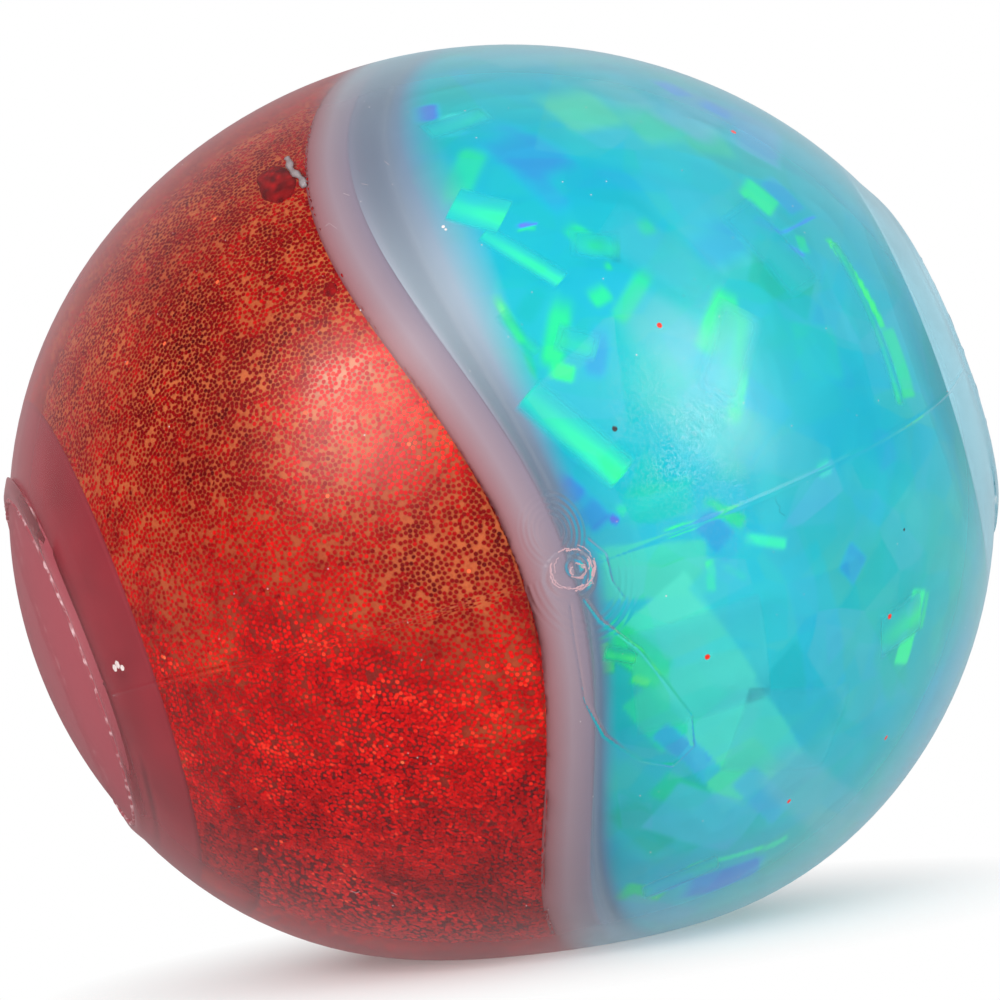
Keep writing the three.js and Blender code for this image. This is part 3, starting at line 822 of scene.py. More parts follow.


# How the glitter lies: station and azimuth in degrees on the chamber's wall, how deep the liquid's red is
# between the flakes, from orange at 0.2 to maroon at 1 and paler below 0.2 under a painted highlight, and how
# bright the flakes are: a painted reflection, bright where they face the table or the left softbox, dark where
# they face the dim room.
RED_ZONES = [
    (-15.3, 27.3, 0.1, 0.84), (-20.3, 25.5, 0.3, 0.72), (-13.2, 22.2, 0.36, 0.86), (-12.0, 16.2, 0.52, 0.86),
    (-8.6, 14.4, 0.46, 0.84), (-12.1, 7.2, 0.27, 0.14), (-7.6, 7.7, 0.29, 0.18), (-28.5, 45.4, 0.34, 0.2),
    (-28.2, 29.6, 0.42, 0.28), (-23.2, 21.8, 0.5, 0.32), (-19.0, 56.4, 0.3, 0.34), (-23.7, 69.4, 0.38, 0.3),
    (-14.1, 42.8, 0.3, 0.36), (-13.0, 80.0, 0.42, 0.34), (-28.2, -0.8, 0.64, 0.74), (-29.7, 14.4, 0.56, 0.6),
    (-25.7, 11.6, 0.54, 0.62), (-38.6, -22.5, 0.7, 0.66), (-38.9, 25.8, 0.5, 0.48),
    (-27.9, -31.1, 0.78, 0.64), (-19.2, -20.6, 0.72, 0.74), (-21.7, -27.0, 0.8, 0.62),
    (-12.6, -13.7, 0.64, 0.74), (-24.7, -56.6, 0.95, 0.34), (-36.0, -45.0, 0.86, 0.46),
    (-12.0, -50.0, 0.9, 0.42), (-10.0, -35.0, 0.78, 0.6), (-34.0, 62.0, 0.32, 0.34),
    (-38.0, 48.0, 0.38, 0.38), (-30.0, 82.0, 0.36, 0.34), (-22.0, 95.0, 0.4, 0.38),
    (-12.0, 100.0, 0.42, 0.38), (-20.0, 44.0, 0.28, 0.28), (-34.0, 32.0, 0.44, 0.38), (-33.0, 4.0, 0.6, 0.6),
    (-40.0, 0.0, 0.62, 0.58), (-11.5, 6.5, 0.26, 0.0), (-8.0, 7.0, 0.27, 0.02), (-15.0, 5.0, 0.34, 0.15),
    (-28.0, 40.0, 0.36, 0.1), (-16.0, 0.0, 0.56, 0.6), (-20.0, 8.0, 0.5, 0.56), (-10.0, 58.0, 0.3, 0.34),
    (-22.0, -10.0, 0.68, 0.74), (-32.0, -14.0, 0.7, 0.7), (-16.0, 68.0, 0.34, 0.34), (-24.0, 110.0, 0.5, 0.4),
    (-9.0, -3.0, 0.56, 0.6),
]


def red_field(points):
    """How deep the liquid's red is, palest under a painted highlight, and how bright the flakes' painted
    reflection is, at points of the red chamber's wall.
    """
    on = points / np.maximum(np.linalg.norm(points, axis=-1, keepdims=True), 1e-6) * RED_SPHERE
    total = np.full(on.shape[:-1], 0.01)
    deep, bright = total * 0.6, total * 0.5
    for station, turn, ground, shade in RED_ZONES:
        spot = on_plane(station, np.array(sqrt(RED_SPHERE ** 2 - station ** 2)), radians(turn))
        weight = np.exp(-((on - spot) ** 2).sum(axis=-1) / 30)
        total, deep, bright = total + weight, deep + weight * ground, bright + weight * shade
    return deep / total, bright / total


def clumps(points):
    """Where the glitter clumps, from -1 to 1."""
    return noise3(points, 3.4, 5) * 0.5 + noise3(points, 1.3, 6) * 0.5


def red_surface(columns, wall_steps):
    """Rings of the red filling, with room low down for the settled glitter to slide."""
    azimuth = around(columns)
    profile = chamber_profile(-1, RED_INSET, SEAT, RED_END, azimuth, wall_steps, fillet=0.05)
    station, radius = profile[..., 0], profile[..., 1]
    away = np.abs(turned(azimuth - LOWEST))[None, :]
    across = eased(1 - np.clip((away - radians(24)) / radians(46), 0, 1))
    along = np.clip((station + 37.5) / 4, 0, 1) * np.clip((-13.5 - station) / 4, 0, 1)
    lowered = radius - 2.7 * across * along
    return azimuth, station, np.minimum(radius, lowered)


class BALL_OT_red_filling(bpy.types.Operator):
    """Builds the body of dyed liquid and deep glitter in the red chamber"""
    bl_idname = "ball.red_filling"
    bl_label = "Red filling"

    def execute(self, context):
        azimuth, station, radius = red_surface(360, 110)
        first = on_plane(-2.65, 0.0, azimuth)
        rings = closed_end([first] + [on_plane(station[k], radius[k], azimuth) for k in range(len(station))])
        made = make_object("red_filling", rings, loft_faces(*rings.shape[:2]), [dyed_liquid()])
        # The liquid's red, pale under a painted highlight, follows the zones of the glitter.
        deep, _ = red_field(rings)
        set_values(made, "low", deep + 0.12 * clumps(rings) * (deep > 0.4))
        face_out(made)
        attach(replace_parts(made, "red_liquid"), "ball")
        return {"FINISHED"}


def flake_mesh(name, middles, shades, width, rng, tilt, material, normals=None):
    """Hexagonal flakes, each turned about its own normal and tipped a little. Without normals they face away
    from the ball's middle."""
    count = len(middles)
    normals = unit(middles) if normals is None else normals
    tip = unit(normals + rng.normal(0, 1, (count, 3)) * np.broadcast_to(tilt, count)[:, None])
    side = unit(np.cross(tip, rng.normal(0, 1, (count, 3))))
    other = np.cross(tip, side)
    reach = width / sqrt(3) * rng.uniform(0.93, 1.05, count)
    corners = [middles + (side * cos(k * pi / 3) + other * sin(k * pi / 3)) * reach[:, None]
               for k in range(6)]
    faces = np.arange(count * 6).reshape(-1, 6)
    made = make_object(name, np.stack(corners, 1), faces, [material], smooth=False)
    set_values(made, "shade", np.repeat(np.broadcast_to(shades, count), 6))
    return made


class BALL_OT_glitter(bpy.types.Operator):
    """Scatters the hexagonal flakes against the wall of the red chamber"""
    bl_idname = "ball.glitter"
    bl_label = "Glitter"

    def execute(self, context):
        s = sizes()
        rng = np.random.default_rng(context.scene.ball_sizes.seed)
        columns = 720
        azimuth, station, radius = red_surface(columns, 160)
        # The innermost rings lie deep on the wavy wall, where no flake shows.
        rings = np.array([on_plane(station[k], radius[k], azimuth) for k in range(4, len(station))])
        lengths = np.linalg.norm(np.diff(rings, axis=0), axis=-1).mean(axis=1)
        run = np.concatenate([[0], np.cumsum(lengths)])
        pitch = s["flake_pitch"]
        rows_at = np.arange(0.2, run[-1] - 0.1, pitch * 0.87)
        girth = np.hypot(rings[..., 1], rings[..., 2]).mean(axis=1)
        u_all, v_all = [], []
        for number, at in enumerate(rows_at):
            ring = np.interp(at, run, np.arange(len(run)))
            around = 2 * pi * np.interp(ring, np.arange(len(run)), girth)
            count = max(int(around / pitch), 8)
            place = (np.arange(count) + 0.5 * (number % 2)) / count
            u_all.append(place * columns + rng.normal(0, 0.3, count) * columns / count)
            v_all.append(ring + rng.normal(0, 0.3, count) * len(run) / run[-1] * pitch)
        u, v = np.concatenate(u_all), np.concatenate(v_all)

        def lie(u, v):
            u, v = u % columns, np.clip(v, 0, len(rings) - 1.001)
            i, j = np.floor(u).astype(int) % columns, np.floor(v).astype(int)
            fu, fv = (u - np.floor(u))[:, None], (v - np.floor(v))[:, None]
            i2 = (i + 1) % columns
            low = rings[j, i] * (1 - fu) + rings[j, i2] * fu
            high = rings[j + 1, i] * (1 - fu) + rings[j + 1, i2] * fu
            return low * (1 - fv) + high * fv, unit(np.cross(high - low, rings[j, i2] - rings[j, i]))

        # Loose flakes lie evenly but in no rows. The rows drawn above are bent, then crowded flakes are
        # pushed apart.
        middle, _ = lie(u, v)
        u = u + 0.9 * pitch * noise3(middle, 3.2, 91) * columns / (2 * pi * 42)
        v = v + 0.9 * pitch * noise3(middle, 3.2, 92) * len(run) / run[-1]
        middle, normal = lie(u, v)
        for _ in range(3):
            tree = KDTree(len(middle))
            for number, point in enumerate(middle):
                tree.insert(point, number)
            tree.balance()
            near = np.array([[found[1] for found in tree.find_n(point, 6)] for point in middle])
            apart = middle[:, None] - middle[near]
            length = np.maximum(np.linalg.norm(apart, axis=2, keepdims=True), 1e-4)
            push = apart / length * np.clip(pitch * 0.96 - length, 0, None) * (length > 1e-3)
            push = push.sum(axis=1) * 0.45
            middle = middle + push - normal * np.einsum("ij,ij->i", push, normal)[:, None]
        normal *= np.sign(np.einsum("ij,ij->i", normal, middle))[:, None]
        middle = middle + normal * rng.uniform(0.05, 0.12, len(middle))[:, None]
        patch = clumps(middle)
        deep, bright = red_field(middle)
        keep = rng.random(len(middle)) < np.clip(0.95 + 0.14 * patch, 0.7, 1)
        middle, normal, patch, deep, bright = (each[keep] for each in (middle, normal, patch, deep, bright))
        # A painted reflection: low flakes face the bright table and are painted lit; high ones face the dark
        # of the room and are painted dark.
        shade = 0.04 + 0.9 * bright - 0.25 * patch + rng.normal(0, 0.08, len(middle))
        # A few flakes near the highlight are painted as glints: painted highlights.
        glint = rng.random(len(middle)) < 0.001 + 0.02 * np.clip(bright - 0.7, 0, 1)
        shade = np.where(glint, 0.95, np.clip(shade, 0.03, 0.87))
        tilt = np.where(rng.random(len(middle)) < 0.1, 0.2, 0.06)
        # Where the glitter is thick, a second layer fills the gaps of the first.
        under = rng.random(len(middle)) < np.clip((deep - 0.5) * 3.0 + 0.5 * patch, 0, 0.85)
        slide = np.cross(normal, rng.normal(0, 1, normal.shape))
        slide *= (0.5 * pitch / np.linalg.norm(slide, axis=1))[:, None]
        middle = np.concatenate([middle, (middle + slide - normal * 0.035)[under]])
        normal = np.concatenate([normal, normal[under]])
        shade = np.concatenate([shade, np.clip(shade[under] * rng.uniform(0.6, 1.1, under.sum()), 0.03, 0.9)])
        tilt = np.concatenate([tilt, tilt[under]])
        made = flake_mesh("red_glitter", middle, shade, s["flake"], rng, tilt, red_flake(), normal)
        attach(made, "ball")
        return {"FINISHED"}


class BALL_OT_settled(bpy.types.Operator):
    """Builds the bed of settled glitter, which slides along the wall of its chamber"""
    bl_idname = "ball.settled_glitter"
    bl_label = "Settled glitter"

    def execute(self, context):
        s = sizes()
        rng = np.random.default_rng(context.scene.ball_sizes.seed + 1)
        across, along = 60, 24
        least = min(s["width"], s["height"]) / 2 - s["wall"]
        far, near = 0.81 * least, 0.36 * least

        def bed_radius(station):
            inset = s["wall"] + 0.35
            low = form_radius(inset, station, np.full(np.shape(station), LOWEST))
            level = form_radius(inset, station, np.full(np.shape(station), LOWEST + pi / 2))
            return np.minimum(low, level)

        def bed_point(u, v, out):
            turn = 2 * u - 1
            station = -(far + (near - far) * v)
            share = (1 - turn ** 2) * np.clip(1 - (2 * v - 1) ** 2, 0, 1) ** 0.5
            thick = 0.15 + 1.85 * share
            radius = bed_radius(station) - (0 if out else 1) * thick
            return on_plane(station, radius, LOWEST + turn * radians(45))

        grid_u, grid_v = np.meshgrid(np.linspace(0, 1, across + 1), np.linspace(0, 1, along + 1))
        points = np.concatenate([bed_point(grid_u, grid_v, 1).reshape(-1, 3),
                                 bed_point(grid_u, grid_v, 0).reshape(-1, 3)])
        made = make_object("settled_glitter", points, slab_faces(across, along),
                           [bpy.data.materials[LIQUID]])
        set_values(made, "low", np.full(len(points), 0.8))
        face_out(made)
        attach(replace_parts(made, "glitter_bed"), "glitter")
        count = 9000
        u, v = rng.random(count), rng.random(count)
        middle = bed_point(u, v, 1)
        middle = middle + unit(middle) * rng.uniform(0.02, 0.1, count)[:, None]
        shade = np.clip(0.55 + 0.2 * noise3(middle, 4, 8) + rng.normal(0, 0.12, count), 0.05, 0.95)
        flakes = flake_mesh("settled_flakes", middle, shade, s["flake"], rng, 0.08,
                            bpy.data.materials[FLAKES])
        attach(flakes, "glitter")
        return {"FINISHED"}


# Sheets of the imported film that show: station, azimuth and heading in degrees, length and width, tone, how
# strongly they show, how they glow (a painted highlight), how much paler they are (milky, and under painted
# highlights), and how softly their ends and sides fade, in mm.
# A tone runs from violet at 0 to spring green at 1. A heading points to the sheet's crisper end.
SHEETS = [
    (2.9, 57, 54, 8.1, 2.8, 0.78, 0.8, 0.55, 0, 1.5, 1.2),
    (0.1, 58.2, 22, 5.2, 4.8, 0.7, 0.6, 0.2, 0, 2, 1.5), (-2, 59.1, 32, 0.9, 1, 0.85, 1, 0.9, 0, 0.4, 0.4),
    (3.1, 73.3, -13, 2.1, 3.3, 0.02, 0.9, 0.45, 0, 1, 0.8),
    (5.3, 69.9, -13, 3, 1.7, 0.45, 1, 0.9, 0, 0.6, 0.4),
    (4.5, 67.7, -6, 2.4, 3.2, 0.44, 0.7, 0.35, 0, 1, 0.6),
    (9.4, 59.1, -58, 8.3, 5.6, 0.24, 0.8, 0.15, 0, 3, 2),
    (9.1, 51.3, -70, 6.8, 2.4, 0.28, 0.6, 0.1, 0, 2, 1.2),
    (6.3, 45.6, -7, 1.9, 0.5, 0.08, 1, 0.7, 0, 0.3, 0.15), (6, 44.9, -6, 1.7, 0.4, 0.8, 1, 0.6, 0, 0.3, 0.12),
    (16.6, 68.2, -73, 6.9, 6.1, 0.76, 0.7, 0.45, 0.2, 2, 1.5),
    (21, 74.8, 24, 4.6, 6.4, 0.5, 0.4, 0.2, 0.55, 2, 1.5),
    (22.1, 65.3, -72, 5.9, 4.8, 0.7, 0.7, 0.35, 0.15, 2, 1.2),
    (26.4, 64, -77, 5.2, 5.2, 0.68, 0.7, 0.35, 0.1, 2, 1.2),
    (27, 74.4, -31, 6.1, 11.9, 0.2, 0.5, 0.1, 0.55, 2.5, 2),
    (26.2, 82.9, -50, 3.3, 2.9, 0.18, 0.9, 0.75, 0, 0.8, 0.3),
    (29.1, 79.5, -24, 3.1, 3.1, 0.18, 0.9, 0.75, 0, 0.8, 0.3),
    (31.4, 74, -14, 5.1, 10.4, 0.22, 0.8, 0.4, 0.25, 1.5, 1),
    (28.9, 49.7, -41, 3.7, 3.1, 0.72, 1, 0.65, 0, 0.5, 0.5),
    (10.8, 41.1, -60, 3.7, 2, 0.85, 0.9, 0.65, 0, 1, 0.8),
    (11.8, 36.1, -88, 0.9, 0.6, 0.85, 0.9, 0.5, 0, 0.4, 0.3),
    (16.9, 41.5, -79, 1.7, 1.7, 0.85, 0.8, 0.5, 0, 0.8, 0.6),
    (9.9, 32, -76, 1.9, 2.1, 0.85, 0.9, 0.65, 0, 0.8, 0.6),
    (12.8, 30.9, -139, 6, 1.8, 0.8, 0.9, 0.55, 0, 1.2, 0.8),
    (4.6, 28.5, -121, 6.5, 2.2, 0.85, 0.9, 0.6, 0, 1.5, 1),
    (3.7, 23.2, -33, 2.3, 1.7, 0.84, 1, 0.8, 0, 0.6, 0.5),
    (0.9, 32.3, -83, 5.2, 0.9, 0.92, 0.9, 0.6, 0, 1, 0.5),
    (1.2, 26.2, -93, 3.5, 0.7, 0.88, 0.5, 0.3, 0, 1.5, 0.6),
    (19.7, 24.5, -134, 7.3, 2.6, 0.8, 0.95, 0.7, 0, 1, 0.8),
    (20.5, 19.5, -114, 10, 1.1, 0.8, 0.8, 0.6, 0, 1.5, 0.5),
    (19, 12.9, -126, 5.4, 1.5, 0.78, 0.9, 0.75, 0, 1.2, 0.6),
    (14.5, 25.1, -58, 7.8, 5.7, 0.5, 0.5, 0.1, 0.42, 3, 2.5),
    (14.7, 12.7, -54, 14.5, 6.2, 0.6, 0.5, 0.25, 0.26, 3, 2.5),
    (7.5, 24.3, -119, 4.8, 2.1, 0.25, 0.8, 0.1, 0, 1.5, 1),
    (-2.5, 20.9, -90, 4, 1.8, 0.06, 0.8, 0.3, 0, 1.5, 1),
    (3.3, 33.4, -138, 3.7, 1.9, 0.64, 0.7, 0, 0, 1.5, 1),
    (0.5, 8.3, -59, 2.9, 1.8, 0.1, 0.8, 0.25, 0, 1, 0.8),
    (4.4, 3.4, -49, 1.1, 0.9, 0.72, 0.9, 0.5, 0, 0.4, 0.4),
    (1.7, 4.2, -66, 3, 2.4, 0.18, 0.8, 0.1, 0, 1, 0.8), (3.5, 2.5, -67, 1, 0.8, 0.08, 1, 0.4, 0, 0.3, 0.3),
    (8.5, 2.6, -9, 6, 3.6, 0.64, 0.7, 0.25, 0, 1.5, 0.8),
    (5.7, -5.9, -17, 10.6, 5.2, 0.7, 0.8, 0.42, 0.1, 0.8, 0.6),
    (9.5, -1.7, -7, 3.6, 0.6, 0.8, 1, 0.7, 0, 0.4, 0.2), (10.8, -9.6, -106, 3, 1, 0.88, 1, 0.95, 0, 0.3, 0.3),
    (17.1, -8.7, -30, 4.8, 1.1, 0.64, 1, 0.85, 0, 0.3, 0.4),
    (14, -2.4, -44, 4.6, 1.5, 0.82, 0.8, 0.4, 0, 0.8, 0.6),
    (12.7, -4.8, -66, 5.2, 2.7, 0.3, 0.8, 0, 0, 0.5, 0.5),
    (13.2, -10.7, -48, 2.7, 0.6, 0.7, 0.8, 0.5, 0, 0.5, 0.3),
    (7.9, -27.3, -74, 25.4, 9.4, 0.62, 0.9, 0.72, 0.12, 0.25, 0.25),
    (1.9, -16.3, -56, 6.8, 3.3, 0.8, 0.8, 0.45, 0, 0.8, 0.5),
    (-1.2, -14.9, -94, 3.1, 1.3, 0.98, 0.8, 0.25, 0, 0.3, 0.4),
    (1.4, -19.7, -40, 1.9, 0.9, 0.9, 1, 0.6, 0, 0.3, 0.3),
    (2, -26.2, -68, 7.1, 3.5, 0.62, 0.9, 0.5, 0, 0.25, 0.25),
    (3, -30.3, -59, 3.9, 2.1, 0.27, 0.9, 0.35, 0, 0.25, 0.25),
    (5.1, -35.5, -67, 5.4, 2.2, 0.3, 0.8, 0.35, 0, 0.5, 0.25),
    (2.8, -39.5, -51, 6.1, 3, 0.72, 0.8, 0.3, 0, 0.4, 0.4),
    (-1.3, -43.2, -64, 8.4, 3.3, 0.7, 0.7, 0, 0, 0.8, 0.6),
    (4.7, -46.3, -47, 11.8, 5.9, 0.4, 0.8, 0.3, 0.12, 0.3, 0.3),
    (10.8, -47.8, -68, 9.2, 2.9, 0.3, 0.8, 0.4, 0.05, 0.5, 0.4),
    (16.1, -56.7, -69, 19.6, 5, 0.45, 0.6, 0.1, 0.4, 2, 1.5),
    (-6.2, -50.1, -88, 4.4, 1.5, 0.03, 0.9, 0.25, 0, 0.5, 0.5),
    (-2.1, -57.7, -39, 5.1, 2.7, 0.86, 0.9, 0.5, 0, 0.6, 0.4),
    (0.4, -57.1, 29, 5.8, 0.8, 0.72, 1, 0.8, 0, 0.4, 0.12),
    (6.6, -57.3, -24, 8.2, 0.8, 0.66, 1, 0.8, 0, 0.4, 0.12),
    (11.5, -60.6, -13, 2.6, 1, 0.6, 1, 0.7, 0, 0.4, 0.12),
    (0.7, -57.5, 8, 4.5, 2.1, 0.07, 0.7, 0.5, 0, 0.8, 0.5),
    (6.1, -62.3, -18, 8.2, 3.5, 0.1, 0.7, 0.45, 0, 1.2, 0.9),
    (-0.5, -64.4, -50, 11, 3.1, 0.36, 0.7, 0.1, 0.3, 0.6, 0.3),
    (16.7, -35, -70, 13.3, 5.4, 0.56, 0.8, 0, 0, 0.3, 0.3),
    (14.3, -16.3, -66, 13.1, 7.8, 0.49, 0.6, 0.32, 0, 0.4, 0.3),
    (19.8, -25.4, -94, 15.3, 5.1, 0.4, 0.6, 0.15, 0, 0.4, 0.3),
    (24.9, -20.2, -63, 3, 3, 0.24, 0.9, 0.08, 0, 0.3, 0.3),
    (28.9, -42.6, -138, 6.9, 2.6, 0.74, 1, 0.95, 0, 0.3, 0.3),
    (30.6, -43.5, -131, 3.4, 0.7, 0.7, 1, 0.55, 0, 0.3, 0.1),
    (25, -3, -91, 1.5, 1.8, 0.56, 0.8, 0.6, 0, 0.4, 0.4),
    (34.4, 31.3, -72, 9.3, 1, 0.84, 1, 0.72, 0, 0.5, 0.2),
    (35.2, 9.6, -94, 6.4, 2.2, 0.72, 1, 0.55, 0, 0.3, 0.4),
    (28.3, 42.2, -22, 3.2, 0.7, 0.1, 1, 0.75, 0, 0.3, 0.12),
    (31.3, 44.3, 30, 6.9, 0.4, 0.2, 1, 0.6, 0, 0.4, 0.12),
    (30.1, 37.3, -18, 2.2, 0.7, 0.14, 1, 0.65, 0, 0.3, 0.15),
    (31, 39.3, -86, 1.8, 1.4, 0.7, 0.9, 0.5, 0, 0.3, 0.3),
    (27.8, 31.3, -36, 7.1, 6.2, 0.66, 0.8, 0, 0, 0.25, 0.25),
    (31.1, 52.2, -54, 4.2, 3, 0.26, 0.8, 0.3, 0, 0.5, 0.4),
    (22.9, 37.8, -67, 4.2, 6.4, 0.28, 0.7, 0.15, 0, 2, 1.5),
    (-3.7, -11.3, -95, 8.9, 1.5, 0.3, 0.4, 0, 0.1, 2, 1),
    (-6.6, -36.1, -84, 13.5, 2.2, 0.35, 0.4, 0, 0.1, 2, 1),
]


def film_field(points):
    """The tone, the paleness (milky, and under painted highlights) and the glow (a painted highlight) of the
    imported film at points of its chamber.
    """
    flat = np.asarray(points, float).reshape(-1, 3)
    on = flat / np.maximum(np.linalg.norm(flat, axis=1, keepdims=True), 1e-6) * SHEET_SPHERE
    tone = 0.49 + 0.08 * noise3(on, 15.0, 61) + 0.04 * noise3(on, 6.0, 62)
    pale = 0.02 + 0.07 * noise3(on, 11.0, 63)
    glow = 0.05 + 0.12 * noise3(on, 8.0, 64)
    rng = np.random.default_rng(77)
    deep = []
    for _ in range(190):
        place, turn, heading = rng.uniform(-6, 39), rng.uniform(0, 360), rng.uniform(-180, 180)
        value = float(np.clip(rng.normal(0.51, 0.1), 0, 1))
        more = ((0.15, 0.45), (0, 0.35), (-0.05, 0.12), (0.4, 2), (0.3, 1.5))
        deep.append((place, turn, heading, rng.uniform(4, 16), rng.uniform(2, 8), value,
                     *(rng.uniform(low, high) for low, high in more)))
    for place, turn, heading, long, wide, value, much, light, wash, end, side in deep + SHEETS:
        middle = on_plane(place, np.array(sqrt(SHEET_SPHERE ** 2 - place ** 2)), radians(turn))
        close = np.flatnonzero(((on - middle) ** 2).sum(axis=1) < (0.6 * (long + wide)) ** 2)
        run, cross = beside(middle / SHEET_SPHERE)
        a = radians(heading)
        run, cross = run * cos(a) + cross * sin(a), cross * cos(a) - run * sin(a)
        u, v = (on[close] - middle) @ run, (on[close] - middle) @ cross
        cover = np.clip((long / 2 - u) / end + 0.5, 0, 1) * np.clip((long / 2 + u) / (2 * end) + 0.5, 0, 1)
        cover = eased(cover * np.clip((wide / 2 - np.abs(v)) / side + 0.5, 0, 1)) * much
        tone[close] += (value - tone[close]) * cover
        pale[close] += (max(wash, 0) - pale[close]) * cover
        glow[close] += (light - glow[close]) * cover
    shape = points.shape[:-1]
    return (np.clip(tone, 0, 1).reshape(shape), np.clip(pale, 0, 0.9).reshape(shape),
            np.clip(glow, 0, 1).reshape(shape))


class BALL_OT_film_core(bpy.types.Operator):
    """Builds the crumpled heart of the film chamber"""
    bl_idname = "ball.film_core"
    bl_label = "Film core"

    def execute(self, context):
        # Fine enough, at 0.3 mm, to draw the edges of the sheets
        columns, wall_steps = 800, 150
        azimuth = around(columns)
        turn = turned(azimuth)
        profile = chamber_profile(1, FILM_INSET, SEAT, FILM_END, azimuth, wall_steps, fillet=0.04)
        edge = profile[FACE_STEPS + FILLET_STEPS - 1, :, 0]
        clear_room = 3.0 + 6.0 * np.exp(-((turn - radians(52)) / radians(30)) ** 2)
        rings = [on_plane(2.6, 0.0, azimuth)]
        opens = [np.ones(columns)]
        for k in range(len(profile)):
            station, radius = profile[k].T
            point = on_plane(station, radius, azimuth)
            fall = eased(np.clip((station - edge) / (0.45 * clear_room), 0, 1))
            reach = np.linalg.norm(point, axis=-1)
            target = np.minimum(reach, CORE_SPHERE) * fall + reach * (1 - fall)
            if station.mean() > 36:
                target = np.minimum(reach, target + (station - 36).clip(0) * 0.2)
            rings.append(point * (target / reach)[:, None])
            opens.append(np.clip(1 - (station - edge) / (clear_room * 1.25), 0, 1))
        rings = closed_end(rings)
        opens = np.array(opens + [np.zeros(columns)] * (len(rings) - len(opens)))
        way = rings / np.maximum(np.linalg.norm(rings, axis=-1, keepdims=True), 1e-6)
        crumple = 0.4 * np.abs(noise3(rings, 7.0, 21)) + 0.2 * np.abs(noise3(rings, 3.0, 22))
        rings = rings - way * (crumple * (1 - opens))[..., None]
        made = make_object("film_core", rings, loft_faces(*rings.shape[:2]), [murky_film()])
        # The film's tone, its paleness and its glow, a painted highlight carried as lit.
        tone, pale, glow = film_field(rings)
        set_values(made, "tone", tone)
        set_values(made, "pale", pale)
        set_values(made, "lit", glow)
        set_values(made, "open", opens)
        # A painted highlight: the liquid's haze is painted paler where it faces the left softbox.
        mist = 0.6 * np.exp(-((turn - radians(36)) / radians(17)) ** 2)
        set_values(made, "mist", np.broadcast_to(mist, opens.shape))
        face_out(made)
        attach(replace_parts(made, "clear_liquid"), "ball")
        return {"FINISHED"}


# The strips as they lie: place along the pole axis as a share of their sphere, azimuth, heading, length and
# width as shares of 20 and 9 mm, layer, then tone, how it covers what lies under it, glow (a painted
# highlight), paleness, and how softly its ends and its sides fade in mm.
STRIPS = [
    (0.06, 49, -42, 0.26, 0.5, 0, 0.84, 1.0, 1.0, 0, 0.15, 0.8),
    (0.11, 40.5, -56, 0.44, 0.27, 1, 0.84, 1.0, 1.0, 0, 0.3, 0.8),
    (0.065, 14.8, -60, 0.58, 0.46, 1, 0.88, 1.0, 1.0, 0, 0.3, 1.6),
    (0.03, 30, -70, 0.26, 0.2, 1, 0.9, 0.4, 0.4, 0, 1.5, 0.8),
    (0.14, 26, -35, 0.2, 0.36, 0, 0.8, 0.6, 0.5, 0, 1.2, 1),
    (0.27, 39, -20, 0.24, 0.4, 0, 0.82, 0.6, 0.5, 0, 1.5, 1),
    (0.42, 36, -48, 0.62, 0.8, 1, 0.52, 0.3, 0.2, 0.15, 3, 2.5),
    (0.47, 19, 50, 0.5, 0.6, 0, 0.7, 0.6, 0.55, 0.1, 2, 1.8),
    (0.845, 21, -88, 0.8, 0.2, 1, 0.72, 0.8, 0.6, 0, 1, 0.7),
    (0.68, -38, -20, 0.34, 0.5, 1, 0.74, 0.8, 0.7, 0, 0.6, 1),
    (0, -14.5, -30, 0.16, 0.2, 0, 0.85, 0.7, 0.6, 0, 0.6, 0.6),
    (0.18, -21, -8, 0.7, 1.2, 1, 0.58, 0.25, 0.45, 0.12, 0.6, 0.8),
    (0.34, -37, -34, 0.65, 1, 0, 0.46, 0.2, 0.35, 0.12, 0.8, 0.8),
    (0.68, 37, -62, 0.5, 0.7, 1, 0.44, 0.5, 0.2, 0, 1, 1.2),
    (0.04, -56, 4, 0.38, 0.3, 1, 0.6, 0.7, 0.4, 0, 0.6, 0.6),
    (0.12, 68, 8, 0.32, 0.4, 1, 0.6, 0.6, 0.4, 0, 1, 1),
    (0.46, 92, 24, 0.9, 0.9, 1, 0.5, 0.6, 0.4, 0.2, 1, 1.5),
    (0.62, 136, -40, 1, 1, 1, 0.7, 0.7, 0.5, 0.1, 0.5, 1.2),
    (0.5, 178, 60, 1, 1.1, 1, 0.3, 0.7, 0.4, 0.1, 0.5, 1.2),
    (0.64, 216, -20, 0.9, 1, 1, 0.8, 0.7, 0.6, 0.1, 0.5, 1.2),
    (0.62, 193, -30, 1, 0.95, 0, 0.55, 0.7, 0.5, 0.1, 0.5, 1.2),
    (0.5, 258, 35, 1, 1, 1, 0.4, 0.6, 0.4, 0.2, 1, 1.2),
]


